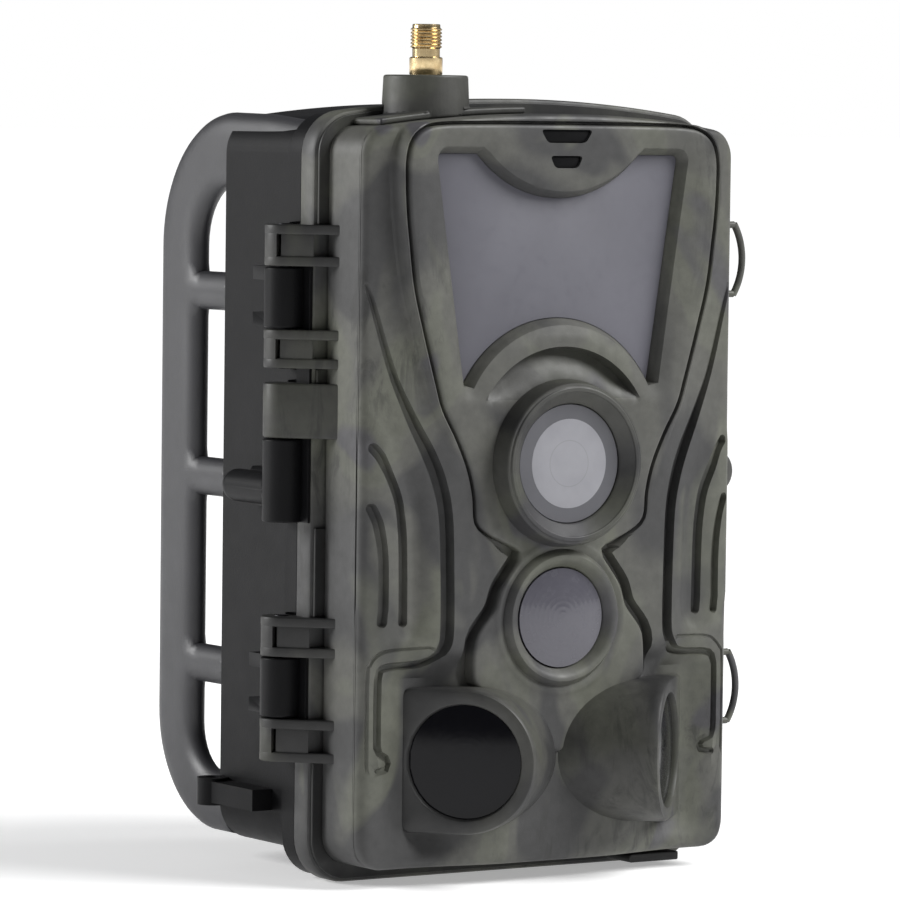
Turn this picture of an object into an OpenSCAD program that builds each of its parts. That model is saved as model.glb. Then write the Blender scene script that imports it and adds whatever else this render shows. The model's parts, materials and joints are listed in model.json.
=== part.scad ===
// Trail camera: a two-part clamshell case with a front camera half that swings open on a side hinge.
// Front of the camera faces -Y, +X is the latch side, +Z is up.
// The origin is the mouth of the tripod socket under the rear shell.

/* [Case] */
// Width across the sealing flange
case_w = 97; // [96:0.5:98]
// Height of the sealing flange at the middle of its arched top
case_h = 159.5; // [159:0.5:160]
// Radius of the flange corners
corner_r = 9; // [8.5:0.5:9.5]
// Radius of the arched top edge
crown_r = 291; // [285:1:300]
// Wall thickness of the moulded case halves
wall = 2.5; // [2.3:0.1:2.6]
// How far the front housing stands in from the flange
front_inset = 3; // [2.9:0.1:3.1]

/* [Depths along Y] */
// Parting face of the rear shell
y_part = -13; // [-13:0.1:-12.9]
// Depth of the rear shell behind the parting face
shell_depth = 31; // [31:0.1:31.2]
// Front plane of the housing at its edge
y_face = -33.5; // [-33.6:0.1:-33.4]
// Front plane of the raised middle plate
y_fascia = -37.7; // [-37.8:0.1:-37.6]

/* [Optics] */
// Height of the camera lens axis
lens_z = 85.6; // [85.4:0.1:85.8]
// Outer radius of the lens bezel
bezel_r = 17.15; // [17:0.05:17.3]
// Height of the main motion sensor axis
pir_z = 54; // [53.9:0.1:54.1]
// Radius of the main motion sensor window
pir_r = 10.15; // [10:0.05:10.2]
// Height of the two side motion sensor axes
side_z = 25.9; // [25.8:0.1:26]
// Angle that each side sensor looks away from the front
side_angle = 45; // [44:1:46]

/* [Hinge and latches] */
// Distance of the hinge axis from the middle plane
hinge_x = 51; // [50.9:0.1:51.1]
// Radius of the hinge knuckles
knuckle_r = 4.2; // [4.1:0.1:4.2]
// Radius of the hinge pins
hinge_pin_r = 1.5; // [1.45:0.05:1.5]
// Height of the upper latch
latch_high_z = 126.4; // [126:0.1:127]
// Height of the lower latch
latch_low_z = 36; // [35.8:0.1:36.4]

/* [Batteries] */
// Radius of one cell
cell_r = 7.1; // [7:0.05:7.15]
// Number of cell columns
cell_columns = 4; // [4:1:4]

/* [Hidden] */
$fn = 64;

olive = [0.41, 0.42, 0.38];
black = [0.16, 0.16, 0.18];
board_green = [0.10, 0.30, 0.18];
steel = [0.72, 0.72, 0.74];
brass = [0.83, 0.66, 0.33];
smoke = [0.34, 0.34, 0.38];

eps = 0.01;
half_w = case_w / 2;
y_back = y_part + shell_depth;
y_flange_back = y_part - 0.3;
y_flange_front = y_part - 5.6;
y_frame_front = y_flange_front - 0.8;
y_wall_back = y_face + wall;
housing_wall_inset = front_inset + wall;
shell_inset = 1.2;
shell_floor = 5;
shell_cavity_inset = 4.6;
y_shell_floor = y_back - 2.2;
hinge_y = y_part + 1;
play = 0.3;
x_latch = 51.5;
y_latch = -6;
latch_pin_r = 1.1;
latch_half = 8.2;

// Heights of the two hinges: bottom of lower fork, knuckle bottom and top, top of upper fork
HINGES = [[24.9, 33.6, 46.2, 54.3], [104.6, 112.4, 125.2, 133.6]];
block_z = [90.5, 101.6];
sleeve_z = [73.4, 90.2];
LATCHES = [latch_high_z, latch_low_z];

// Places of the screws: rails on the shell, tray on its pads, cover on the front housing
RAIL_X = [-42.2, 42.2];
RAIL_Z = [12.5, 146];
PAD_X = [-34.6, 34.6];
PAD_Z = [28, 128];
COVER_X = [-38.4, 38.4];
COVER_Z = [16, 143];
rail_screw_r = 0.95;
pad_screw_r = 1;
padlock_at = [53.5, 81.35];

// ---------- helpers ----------

// Extrudes a profile drawn in X and Z between two Y planes
module slab(y0, y1) {
  translate([0, y1, 0]) rotate([90, 0, 0]) linear_extrude(y1 - y0) children();
}

// Round bar along Z at a place in plan
module post(x, y, r, z0, z1) {
  translate([x, y, z0]) cylinder(r = r, h = z1 - z0);
}

// Round bar along Y
module bar_y(x, z, r, y0, y1) {
  translate([x, y1, z]) rotate([90, 0, 0]) cylinder(r = r, h = y1 - y0);
}

// Turned piece whose axis runs along Y; the profile is given as radius and distance forward
module turned_y(x, y, z) {
  translate([x, y, z]) rotate([90, 0, 0]) rotate_extrude($fn = 96) children();
}

// Box from its two corners
module box(a, b) {
  translate(a) cube(b - a);
}

// Outline of the case seen from the front, inset from the flange
module case_outline(inset = 0) {
  r = corner_r - min(inset, 5);
  offset(r = r, $fn = 48) offset(delta = -r) intersection() {
    translate([inset - half_w, inset]) square([case_w - 2 * inset, case_h]);
    translate([0, case_h - crown_r]) circle(r = crown_r - inset, $fn = 540);
  }
}

// Outline of the rear shell, whose floor stands above the flange
module shell_outline(inset) {
  r = corner_r - min(inset, 5);
  offset(r = r, $fn = 48) offset(delta = -r) intersection() {
    case_outline(inset);
    translate([-half_w, shell_floor + inset - shell_inset]) square([case_w, case_h]);
  }
}

// Outline of the infrared window; a positive grow makes it larger
module window_outline(grow = 0) {
  top = 148.3 + grow;
  bottom = 101.7 - grow;
  difference() {
    polygon([[-29.6 - grow, top], [29.6 + grow, top], [22.6 + grow, bottom], [-22.6 - grow, bottom]]);
    translate([0, 165.9]) circle(r = 26.5 - grow, $fn = 96);
    translate([0, 89.1]) circle(r = 25.9 - grow, $fn = 96);
  }
}

// Half outline of the raised middle plate
FASCIA_HALF = [[0, 154], [-32.5, 153.6], [-36, 151.5], [-37, 147], [-37, 139], [-35.3, 120], [-28.5, 95],
               [-21.5, 81], [-20, 76], [-19.8, 72.3], [-11.5, 68.6], [-10.5, 66.8], [-15.5, 60.8],
               [-19.8, 53.2], [-21.7, 48], [-22, 41.5], [0, 41.5]];

module both_sides() {
  children();
  mirror([1, 0, 0]) children();
}

// Frame of one side sensor: its mouth is at the origin and it looks along +Z
module side_frame(side) {
  translate([side * 25.4, -41, side_z]) rotate([90, 0, side * side_angle]) children();
}

// Plan of a hinge lug on the front housing
module front_lug_plan() {
  translate([-hinge_x, hinge_y]) circle(r = knuckle_r);
  polygon([[-44.5, -25], [-hinge_x - 0.75 * knuckle_r, hinge_y - 0.66 * knuckle_r],
           [-hinge_x + 0.5, hinge_y - 1], [-44.5, y_flange_back - 1]]);
}

// Plan of a hinge knuckle on the rear shell
module rear_lug_plan() {
  translate([-hinge_x, hinge_y]) circle(r = knuckle_r);
  polygon([[-hinge_x - 0.7 * knuckle_r, hinge_y + 0.7 * knuckle_r], [-50.6, -6.4], [-46.6, -6.4],
           [-46.6, y_part + 0.1], [-hinge_x + 0.5, hinge_y]]);
}

// Two tabs that brace each knuckle against the side of the shell
module knuckle_braces(h) {
  for (z = [h[1] + play, h[2] - play - 2.8])
    box([-51.4, -9, z], [-46.6, -0.2, z + 2.8]);
}

// Curved back of a hinge fork, between its two plates
module fork_back_plan() {
  intersection() {
    difference() {
      translate([-hinge_x, hinge_y]) circle(r = knuckle_r);
      translate([-hinge_x, hinge_y]) circle(r = knuckle_r - 1.5);
    }
    translate([-hinge_x - 6, hinge_y - 2.4]) square([5.2, 7]);
  }
}

module at_height(z0, z1) {
  translate([0, 0, z0]) linear_extrude(z1 - z0) children();
}

// ---------- rear half ----------

module rear_shell() {
  color(black) difference() {
    union() {
      slab(y_part, y_part + 5) case_outline(0.5);
      slab(y_part + 4, y_back) shell_outline(shell_inset);
      post(0, 0, 9, 0, 12);
      for (h = HINGES) {
        at_height(h[1] + play, h[2] - play) rear_lug_plan();
        knuckle_braces(h);
      }
      latch_lugs();
      slab(y_part, y_part + 3.5) padlock_tab();
    }
    slab(y_part - 1, y_shell_floor) shell_outline(shell_cavity_inset);
    post(0, 0, 5.02, -1, 13);
    for (h = HINGES) {
      post(-hinge_x, hinge_y, hinge_pin_r + 0.02, h[0], h[3]);
      post(-hinge_x, hinge_y, knuckle_r + 0.4, h[0] - play, h[1] + play);
      post(-hinge_x, hinge_y, knuckle_r + 0.4, h[2] - play, h[3] + play);
    }
    post(-hinge_x, hinge_y, knuckle_r + 0.4, block_z[0] - play, block_z[1] + play);
    post(-hinge_x, hinge_y, knuckle_r + 0.02, sleeve_z[0] - 0.02, block_z[0]);
    for (x = RAIL_X, z = RAIL_Z) bar_y(x, z, rail_screw_r + 0.25, y_shell_floor - 1, y_back + 1);
    for (z = LATCHES) post(x_latch, y_latch, latch_pin_r + 0.02, z - 11, z + 11);
  }
  color(black) shell_floor_pads();
}

// Pads inside the shell that carry the battery tray
module shell_floor_pads() {
  for (x = PAD_X, z = PAD_Z) difference() {
    bar_y(x, z, 2.6, 13.1, y_shell_floor + eps);
    bar_y(x, z, pad_screw_r + 0.05, 12, y_shell_floor - 0.4);
  }
}

// Ears that carry the latch pins
module latch_lugs() {
  for (z = LATCHES, low = [-10.4, 8.5]) at_height(z + low, z + low + 1.9) {
    translate([x_latch, y_latch]) circle(r = 2.8);
    polygon([[46.6, -11], [x_latch, y_latch - 2.8], [x_latch, y_latch + 2.8], [46.6, -1]]);
  }
}

// Tab with a shackle hole on each half of the case
module padlock_tab() {
  difference() {
    union() {
      translate(padlock_at) circle(r = 4.7);
      translate([47.4, padlock_at[1] - 4.7]) square([padlock_at[0] - 47.4, 9.4]);
    }
    translate(padlock_at) circle(r = 2.8);
  }
}

// Side profile of one bow rail, drawn with Y to the right and Z up
module rail_profile() {
  difference() {
    union() {
      difference() {
        union() {
          translate([20.2, 128]) circle(r = 28, $fn = 120);
          translate([24, 30]) circle(r = 24, $fn = 120);
          translate([-8, 100]) square([28.2, 56]);
          translate([10, 6]) square([14, 40]);
          translate([20, 30]) square([28.2, 98]);
        }
        translate([20.2, 128]) circle(r = 12.8, $fn = 96);
        translate([23.5, 28]) circle(r = 9.5, $fn = 96);
        translate([-9, 28]) square([42, 100]);
        translate([-9, 60]) square([29.2, 80.8]);
        translate([9, 18.5]) square([14.5, 40]);
      }
      for (z = [36.6, 75.9, 114.8]) translate([y_back, z]) square([20, 8]);
    }
    translate([-20, -1]) square([y_back + 20, 142]);
  }
}

// Curved rail that bears on the tree, with slots for the strap
module bow_rail(side) {
  color(black) difference() {
    translate([side > 0 ? 40.5 : -46, 0, 0]) rotate([90, 0, 90]) linear_extrude(5.5) rail_profile();
    slab(-12, y_back) shell_outline(shell_inset - 0.05);
    slab(-40, y_part + 5.05) translate([-60, 0]) square([120, 170]);
    for (x = RAIL_X, z = RAIL_Z) bar_y(x, z, rail_screw_r + 0.05, 10, 27);
  }
}

module bow_rail_left() { bow_rail(-1); }
module bow_rail_right() { bow_rail(1); }

module bracket_screws() {
  color(steel) for (x = RAIL_X, z = RAIL_Z) {
    bar_y(x, z, 1.6, y_shell_floor - 1.6, y_shell_floor);
    bar_y(x, z, rail_screw_r, y_shell_floor - eps, 26);
  }
}

tray_x = 31.9;
tray_z = [22.4, 131.6];
tray_y = [-2.5, 15.5];
cell_pitch = 15.3;
channel_z = [24, 130];
cell_y = 6.5;

function column_x(i) = (i - (cell_columns - 1) / 2) * cell_pitch;

module battery_tray() {
  color(black) difference() {
    union() {
      box([-tray_x, tray_y[0], tray_z[0]], [tray_x, tray_y[1], tray_z[1]]);
      for (x = PAD_X, z = PAD_Z) bar_y(x, z, 3.2, 11.2, 13);
      for (z = PAD_Z) box([PAD_X[0], 11.2, z - 3.2], [PAD_X[1], 13, z + 3.2]);
    }
    for (i = [0 : cell_columns - 1])
      box([column_x(i) - 7.45, tray_y[0] - 1, channel_z[0]], [column_x(i) + 7.45, 13.9, channel_z[1]]);
    for (x = PAD_X, z = PAD_Z) bar_y(x, z, pad_screw_r + 0.3, 10, 14);
  }
}

module tray_screws() {
  color(steel) for (x = PAD_X, z = PAD_Z) {
    bar_y(x, z, 2.3, 9.6, 11.2);
    bar_y(x, z, pad_screw_r, 11.2 - eps, 15.2);
  }
}

// Two cells end to end in each column, turned about in every other column
module battery_cells() {
  color("goldenrod") for (i = [0 : cell_columns - 1], k = [0, 1]) {
    up = i % 2 == 0;
    z0 = (up ? channel_z[0] + 5.1 : channel_z[0] + 0.5) + k * 50.3;
    translate([column_x(i), cell_y, z0 + (up ? 0 : 50.2)]) mirror([0, 0, up ? 0 : 1]) {
      cylinder(r = cell_r, h = 49.1);
      cylinder(r = 2.6, h = 50.2);
    }
  }
}

module battery_contacts() {
  color(steel) for (i = [0 : cell_columns - 1], z = [channel_z[0], channel_z[1] - 0.4])
    box([column_x(i) - 6, 0.5, z], [column_x(i) + 6, 12.5, z + 0.4]);
}

module battery_springs() {
  color(steel) for (i = [0 : cell_columns - 1]) {
    up = i % 2 == 0;
    z0 = up ? channel_z[0] + 0.45 : channel_z[1] - 4.95;
    translate([column_x(i), cell_y, z0]) difference() {
      cylinder(r = 3.4, h = 4.5);
      translate([0, 0, -1]) cylinder(r = 2.8, h = 7);
    }
  }
}

module battery_cover() {
  color(black) difference() {
    union() {
      box([-tray_x, -4.1, tray_z[0]], [tray_x, -2.6, tray_z[1]]);
      box([-8, -4.9, tray_z[1] - 9], [8, -4, tray_z[1] - 7]);
    }
    for (i = [0 : 5]) box([-24, -4.6, 40 + i * 12], [24, -3.7, 42 + i * 12]);
  }
}

module tripod_insert() {
  color(brass) difference() {
    post(0, 0, 5, 0, 10);
    post(0, 0, 3.2, -1, 11);
  }
}

module hinge_pins() {
  color(steel) for (h = HINGES) post(-hinge_x, hinge_y, hinge_pin_r, h[0] - 0.2, h[3] + 0.2);
}

// Fixed sleeve that leads the cable into the hinge axis, with its rounded boot
module cable_sleeve() {
  color(black) difference() {
    union() {
      post(-hinge_x, hinge_y, knuckle_r, sleeve_z[0], sleeve_z[1]);
      bar_y(-51.2, 79.8, 3.35, hinge_y, 5);
      translate([-51.2, 5, 79.8]) sphere(r = 3.35);
      box([-50.6, hinge_y, 76], [-47.4, 1, 84]);
    }
    post(-hinge_x, hinge_y, 2, sleeve_z[0] + 2, sleeve_z[1] + 1);
    slab(y_part - 4, 30) shell_outline(shell_inset - 0.02);
    slab(y_part - 4, y_part + 5.02) case_outline(0.48);
  }
}

module hinge_cable() {
  color([0.1, 0.1, 0.1]) post(-hinge_x, hinge_y, 1.6, sleeve_z[0] + 2, 98);
}

// Small hook on the lower hinge side for a lock cable
module lock_hook() {
  color(black) difference() {
    union() {
      box([-52, -3, 13.4], [-47.4, 18, 17.8]);
      post(-50.2, 16, 3.2, 12.8, 18.4);
    }
    post(-50.2, 16, 1.4, 12, 19);
    slab(y_part, 30) shell_outline(shell_inset - 0.02);
    box([-51, -1, 13], [-46, 11, 15.4]);
  }
}

module latch_pins() {
  color(steel) for (z = LATCHES) post(x_latch, y_latch, latch_pin_r, z - 10.4, z + 10.4);
}

// ---------- front half ----------

module side_tube(side) {
  side_frame(side) translate([0, 0, -16]) cylinder(r1 = 15, r2 = 14.2, h = 16, $fn = 96);
}

module front_housing() {
  color(olive) difference() {
    union() {
      slab(y_face, y_frame_front) case_outline(front_inset);
      slab(y_frame_front - eps, y_flange_front + eps) case_outline(4.2);
      slab(y_flange_front, y_flange_back) case_outline(0);
      side_tube(-1);
      side_tube(1);
      for (h = HINGES) {
        at_height(h[0], h[0] + 2) front_lug_plan();
        at_height(h[1] - 2, h[1]) front_lug_plan();
        at_height(h[2], h[2] + 2) front_lug_plan();
        at_height(h[3] - 2, h[3]) front_lug_plan();
        at_height(h[0] + 1, h[1] - 1) fork_back_plan();
        at_height(h[2] + 1, h[3] - 1) fork_back_plan();
      }
      at_height(block_z[0], block_z[1]) front_lug_plan();
      slab(y_flange_back - 3.5, y_flange_back) padlock_tab();
    }
    slab(y_wall_back, y_part + 1) case_outline(housing_wall_inset);
    slab(y_face - 1, y_wall_back + 1) window_outline(-1.6);
    bar_y(0, lens_z, 10, y_face - 1, y_wall_back + 1);
    bar_y(0, pir_z, 8.5, y_face - 1, y_wall_back + 1);
    for (side = [-1, 1]) side_frame(side) {
      translate([0, 0, -3]) cylinder(r = 11.6, h = 4, $fn = 96);
      translate([0, 0, -13]) cylinder(r = 10.2, h = 14);
      translate([0, 0, -24]) cylinder(r = 5, h = 14);
    }
    for (h = HINGES) {
      post(-hinge_x, hinge_y, hinge_pin_r + 0.06, h[0] - 1, h[3] + 1);
      post(-hinge_x, hinge_y, knuckle_r + play, h[1], h[2]);
    }
    post(-hinge_x, hinge_y, 2, block_z[0] - 1, block_z[1] - 1.5);
    post(-hinge_x, hinge_y, knuckle_r + play, sleeve_z[0] - play, block_z[0]);
    slab(y_flange_back - 1.5, y_part) difference() {
      case_outline(3);
      case_outline(4.4);
    }
    both_sides() slab(y_face - 1, y_face + 1.6) gill_slots();
    post(30.5, -24.2, 3.2, 2, 7);
    post(-24.2, -22, 2, 150, 158);
    for (x = COVER_X, z = COVER_Z) bar_y(x, z, 1.05, -25, -12);
  }
  color(olive) for (x = COVER_X, z = COVER_Z) difference() {
    bar_y(x, z, 2.6, y_wall_back - eps, -15.6);
    bar_y(x, z, 1.05, -25, -12);
  }
}

// Slots of the ribbed side panels, on the left side
module gill_slots() {
  path([[-43, 89.1], [-40, 82.7], [-37.2, 75.8], [-36.2, 66], [-36.2, 53.6]], 2.2);
  path([[-43.2, 77], [-41, 70.3], [-40.8, 62], [-40.8, 53.6]], 1.7);
  path([[-44.5, 121], [-35.2, 96], [-28.2, 80], [-27.1, 74], [-27.1, 50], [-31, 46.5], [-39, 46.3],
        [-40.7, 44.5], [-40.7, 27], [-38, 24.3]], 0.9);
}

// Direction of the line of points leaving one of them
function heading(p, i) = (p[i + 1] - p[i]) / norm(p[i + 1] - p[i]);

// One edge of a line of constant width, mitred where the line bends
function edge_of(p, off) = [for (i = [0 : len(p) - 1]) let (
  before = heading(p, max(i - 1, 0)),
  after = heading(p, min(i, len(p) - 2)),
  along = (before + after) / norm(before + after),
  reach = off / (along * after)) p[i] + reach * [-along[1], along[0]]];

// A line of constant width through points
module path(points, w) {
  far = edge_of(points, -w / 2);
  polygon(concat(edge_of(points, w / 2), [for (i = [len(far) - 1 : -1 : 0]) far[i]]));
}

// Dark inner frame that shows as a band between housing and flange
module front_frame() {
  color(black) difference() {
    slab(y_frame_front + 0.02, y_flange_front - 0.02) difference() {
      case_outline(0.8);
      case_outline(4.16);
    }
    for (h = HINGES) post(-hinge_x, hinge_y, knuckle_r + 2.8, h[0] - 0.1, h[3] + 0.1);
    post(-hinge_x, hinge_y, knuckle_r + 2.8, sleeve_z[0] - 1, block_z[1] + 0.1);
    box([-50, -25, 24.8], [-44, -15, 54.4]);
    box([-50, -25, 104.5], [-44, -15, 133.7]);
    box([-50, -25, 72.4], [-44, -15, 101.7]);
  }
}

module fascia_plate() {
  color(olive) difference() {
    union() {
      slab(y_fascia, y_face - 0.05) union() {
        polygon(FASCIA_HALF);
        mirror([1, 0]) polygon(FASCIA_HALF);
      }
      bar_y(0, pir_z, 14.2, y_fascia - 1.9, y_fascia + 1);
    }
    slab(y_fascia - 1, -33.2) window_outline(0.1);
    slab(-34, y_face + 1) window_outline(-1.5);
    bar_y(0, lens_z, 10, y_fascia - 5, y_face + 1);
    bar_y(0, pir_z, pir_r + 0.1, y_fascia - 5, y_fascia + 0.6);
    bar_y(0, pir_z, 8.5, y_fascia - 5, y_face + 1);
    slab(y_fascia - 1, y_fascia + 1.3) indicator_profile(0.05);
  }
}

module indicator_profile(grow) {
  polygon([[-6.4 - grow, 153.3 + grow], [6.4 + grow, 153.3 + grow], [4.7 + grow, 150.6 - grow],
           [-4.7 - grow, 150.6 - grow]]);
  polygon([[-4.05 - grow, 148 + grow], [4.05 + grow, 148 + grow], [2.85 + grow, 145.5 - grow],
           [-2.85 - grow, 145.5 - grow]]);
}

module ir_window() {
  color(smoke) slab(y_face - 1, y_face - 0.05) window_outline(0);
}

module indicator_windows() {
  color(black) slab(y_fascia + 0.3, y_fascia + 1.25) indicator_profile(0);
}

module lens_bezel() {
  color(olive) turned_y(0, y_fascia - 0.05, lens_z)
    polygon([[12.2, 0], [bezel_r, 0], [16.6, 3.6], [16.1, 4.9], [15.2, 4.9], [14.6, 4.2], [12.3, 2.6],
             [12.2, 2.4]]);
}

module lens_window() {
  color([0.7, 0.72, 0.75]) bar_y(0, lens_z, 12.1, y_fascia - 2.3, y_fascia - 1.1);
}

module lens_barrel() {
  color(black) difference() {
    bar_y(0, lens_z, 9.4, -37.2, -25.2);
    bar_y(0, lens_z, 8.2, -38, -35.2);
    bar_y(0, lens_z, 5.2, -38, -24);
  }
}

module lens_elements() {
  color([0.6, 0.65, 0.8]) {
    bar_y(0, lens_z, 8.1, -36.6, -35.3);
    bar_y(0, lens_z, 5.1, -33.5, -32);
    bar_y(0, lens_z, 5.1, -30, -28);
    bar_y(0, lens_z, 5.1, -27, -26);
  }
}

// Guide behind the barrel in which the filter slides
module lens_holder() {
  color(black) difference() {
    box([-13, -25.15, lens_z - 9], [13, -21.95, lens_z + 9]);
    box([-14, -24.85, lens_z - 5.2], [14, -23.55, lens_z + 5.2]);
    bar_y(0, lens_z, 4.2, -26, -21);
  }
}

module ir_cut_filter() {
  color([0.35, 0.55, 0.6]) box([-12.5, -24.65, lens_z - 5], [4, -23.75, lens_z + 5]);
}

module sensor_board() {
  color(board_green) box([-15, -21.9, lens_z - 14], [15, -20.6, lens_z + 14]);
}

module image_sensor() {
  color([0.2, 0.2, 0.25]) box([-3.2, -22.9, lens_z - 2.4], [3.2, -21.95, lens_z + 2.4]);
}

// Shallow dome with a flat back
module domed_disc(r, thick, rise) {
  ball = (r * r + rise * rise) / (2 * rise);
  arc = [for (i = [0 : 10]) let (x = r * (1 - i / 10)) [x, thick + rise - ball + sqrt(ball * ball - x * x)]];
  rotate_extrude($fn = 96) polygon(concat([[0, 0], [r, 0]], arc));
}

module pir_window() {
  color([0.3, 0.3, 0.31]) translate([0, y_fascia + 0.55, pir_z]) rotate([90, 0, 0]) domed_disc(pir_r, 0.6, 0.8);
}

module side_window(side) {
  color([0.12, 0.12, 0.13]) side_frame(side) translate([0, 0, -2.95]) domed_disc(11.5, 0.6, 0.8);
}

module side_window_left() { side_window(-1); }
module side_window_right() { side_window(1); }

module pir_cells() {
  color(steel) {
    bar_y(0, pir_z, 4.1, -30.2, -26.2);
    for (side = [-1, 1]) side_frame(side) translate([0, 0, -16]) cylinder(r = 4.1, h = 4);
  }
}

module pir_board() {
  color(board_green) box([-20, -25.9, 14], [20, -24.5, 66]);
}

module led_board() {
  color(board_green) box([-30, -28.9, 100.5], [30, -27.5, 147]);
}

// A light-emitting diode is fitted only where it shows through the window
function led_shows(x, z) = abs(x) < 25.3 - (148.3 - z) * 0.15
  && norm([x, z - 165.9]) > 30.8 && norm([x, z - 89.1]) > 30.2;

module ir_leds() {
  color([0.75, 0.75, 0.8]) for (i = [-4 : 4], k = [0 : 5]) {
    x = i * 6.2;
    z = 106 + k * 7.4;
    if (led_shows(x, z)) {
      bar_y(x, z, 2.4, -31.6, -28.95);
      translate([x, -31.6, z]) sphere(r = 1.6, $fn = 24);
    }
  }
}

module main_board() {
  color(board_green) difference() {
    box([-36, -19.6, 10], [36, -18.1, 148]);
    for (x = COVER_X, z = COVER_Z) bar_y(x, z, 3.2, -22, -15);
    bar_y(-24.2, 140, 1.05, -21, -19.2);
  }
}

module lcd_screen() {
  color([0.08, 0.1, 0.14]) box([-25, -18, 97], [25, -14.4, 135]);
}

BUTTONS = [[0, 82], [0, 58], [-12, 70], [12, 70], [0, 70]];

module inner_cover() {
  color(black) difference() {
    slab(-15.5, -13.7) case_outline(housing_wall_inset + 0.3);
    box([-25.3, -17, 96.7], [25.3, -12, 135.3]);
    for (b = BUTTONS) bar_y(b[0], b[1], 3.3, -17, -12);
    box([-9.4, -17, 46.2], [3.4, -12, 49.8]);
    box([-33.2, -17, 13.8], [-6.8, -12, 42.2]);
    box([7.8, -17, 13.8], [24.2, -12, 30.2]);
    for (x = COVER_X, z = COVER_Z) bar_y(x, z, 1.3, -17, -12);
    for (a = [0 : 60 : 300]) bar_y(27 + 4 * cos(a), 66 + 4 * sin(a), 0.9, -17, -12);
    bar_y(27, 66, 0.9, -17, -12);
  }
}

module inner_cover_screws() {
  color(steel) for (x = COVER_X, z = COVER_Z) {
    bar_y(x, z, 2.2, -13.7, -13.35);
    bar_y(x, z, 1, -22, -13.7 + eps);
  }
}

// Round key with a collar that keeps it behind the cover
module key(at) {
  color([0.3, 0.3, 0.32]) {
    bar_y(at[0], at[1], 3, -17.2, -13);
    bar_y(at[0], at[1], 4, -17.2, -16.2);
  }
}

module button_up() { key(BUTTONS[0]); }
module button_down() { key(BUTTONS[1]); }
module button_left() { key(BUTTONS[2]); }
module button_right() { key(BUTTONS[3]); }
module button_ok() { key(BUTTONS[4]); }

module mode_switch() {
  color([0.3, 0.3, 0.32]) {
    box([-9, -17.2, 46.6], [-5, -13.1, 49.4]);
    box([-9.8, -17.2, 45.4], [-4.2, -16.2, 50.6]);
  }
}

module speaker() {
  color([0.25, 0.25, 0.27]) difference() {
    bar_y(27, 66, 8, -18, -15.6);
    bar_y(27, 66, 6.5, -16.6, -15);
  }
}

module card_slot() {
  color(steel) difference() {
    box([-33, -18, 14], [-7, -15, 42]);
    box([-32, -17.4, 13], [-8, -15.4, 41]);
  }
}

module sim_slot() {
  color(steel) difference() {
    box([8, -18, 14], [24, -15.8, 30]);
    box([9, -17.5, 13], [23, -16.2, 29]);
  }
}

module dc_jack() {
  color([0.1, 0.1, 0.1]) difference() {
    box([25.8, -28.6, 5.6], [35.2, -19.7, 17]);
    post(30.5, -24.2, 3, 5, 15);
  }
}

module usb_port() {
  color(steel) difference() {
    box([-4, -18.05, 10], [4, -15.8, 15.6]);
    box([-3.6, -17.7, 9], [3.6, -16.2, 15]);
  }
}

flap_hinge = [24.9, 2];

// Soft flap over the power socket, with a rolled edge to turn on
module port_flap() {
  color([0.12, 0.12, 0.12]) {
    bar_y(flap_hinge[0], flap_hinge[1], 0.9, -29, -20);
    box([flap_hinge[0], -29, 1.1], [36.6, -20, 2.9]);
  }
}

module door_gasket() {
  color([0.08, 0.08, 0.08]) slab(y_flange_back - 1.48, y_flange_back + 0.2) difference() {
    case_outline(3.04);
    case_outline(4.36);
  }
}

boss_x = -24.2;
boss_y = -22;

module antenna_boss() {
  color(olive) difference() {
    union() {
      intersection() {
        slab(-30, -19.6) difference() {
          case_outline(1.6);
          case_outline(front_inset - 0.03);
        }
        box([-40, -31, 140], [-5, -19, 160]);
      }
      translate([boss_x, boss_y, 152]) cylinder(r1 = 9.15, r2 = 8.6, h = 12);
    }
    slab(-40, -10) case_outline(front_inset - 0.03);
    slab(y_frame_front - 0.05, -10) case_outline(-0.05);
    post(boss_x, boss_y, 3.2, 150, 165);
  }
}

// Threaded coaxial antenna socket
module sma_connector() {
  color(brass) difference() {
    union() {
      post(boss_x, boss_y, 3.15, 158.2, 165);
      post(boss_x, boss_y, 3.37, 164.05, 167.6);
      post(boss_x, boss_y, 2.8, 167.6 - eps, 169.4);
      post(boss_x, boss_y, 3.175, 169.4, 173.1);
      post(boss_x, boss_y, 2.83, 173.1 - eps, 174.3);
    }
    post(boss_x, boss_y, 2.3, 170.5, 175);
  }
  color(brass) post(boss_x, boss_y, 0.6, 170.4, 173);
}

module coax_lead() {
  color([0.1, 0.1, 0.1]) {
    post(boss_x, boss_y, 0.9, 140, 158.15);
    bar_y(boss_x, 140, 0.9, boss_y, -19.65);
    translate([boss_x, boss_y, 140]) sphere(r = 0.9);
  }
}

// ---------- latches ----------

strap_x = [50.2, 52.2];
loop_y = [-21.6, -19.7];
loop_centre_x = 43.1;
loop_r = [12.9, 14.4];

// Lever with a hooked nose and an arched finger loop
module latch(z) {
  color(olive) translate([0, 0, z]) difference() {
    union() {
      post(x_latch, y_latch, 2.6, -latch_half, latch_half);
      box([strap_x[0], -20.2, -7], [strap_x[1], y_latch, 7]);
      box([48.75, loop_y[0], -5], [strap_x[1], -19.9, 5]);
      slab(loop_y[0], loop_y[1]) difference() {
        intersection() {
          translate([loop_centre_x, 0]) circle(r = loop_r[1], $fn = 120);
          translate([strap_x[0], -7.8]) square([10, 15.6]);
        }
        intersection() {
          translate([loop_centre_x, 0]) circle(r = loop_r[0], $fn = 120);
          translate([strap_x[1] - 0.1, -6.4]) square([10, 12.8]);
        }
      }
    }
    post(x_latch, y_latch, latch_pin_r + 0.06, -12, 12);
  }
}

module latch_upper() { latch(latch_high_z); }
module latch_lower() { latch(latch_low_z); }

// ---------- nodes ----------

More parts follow.
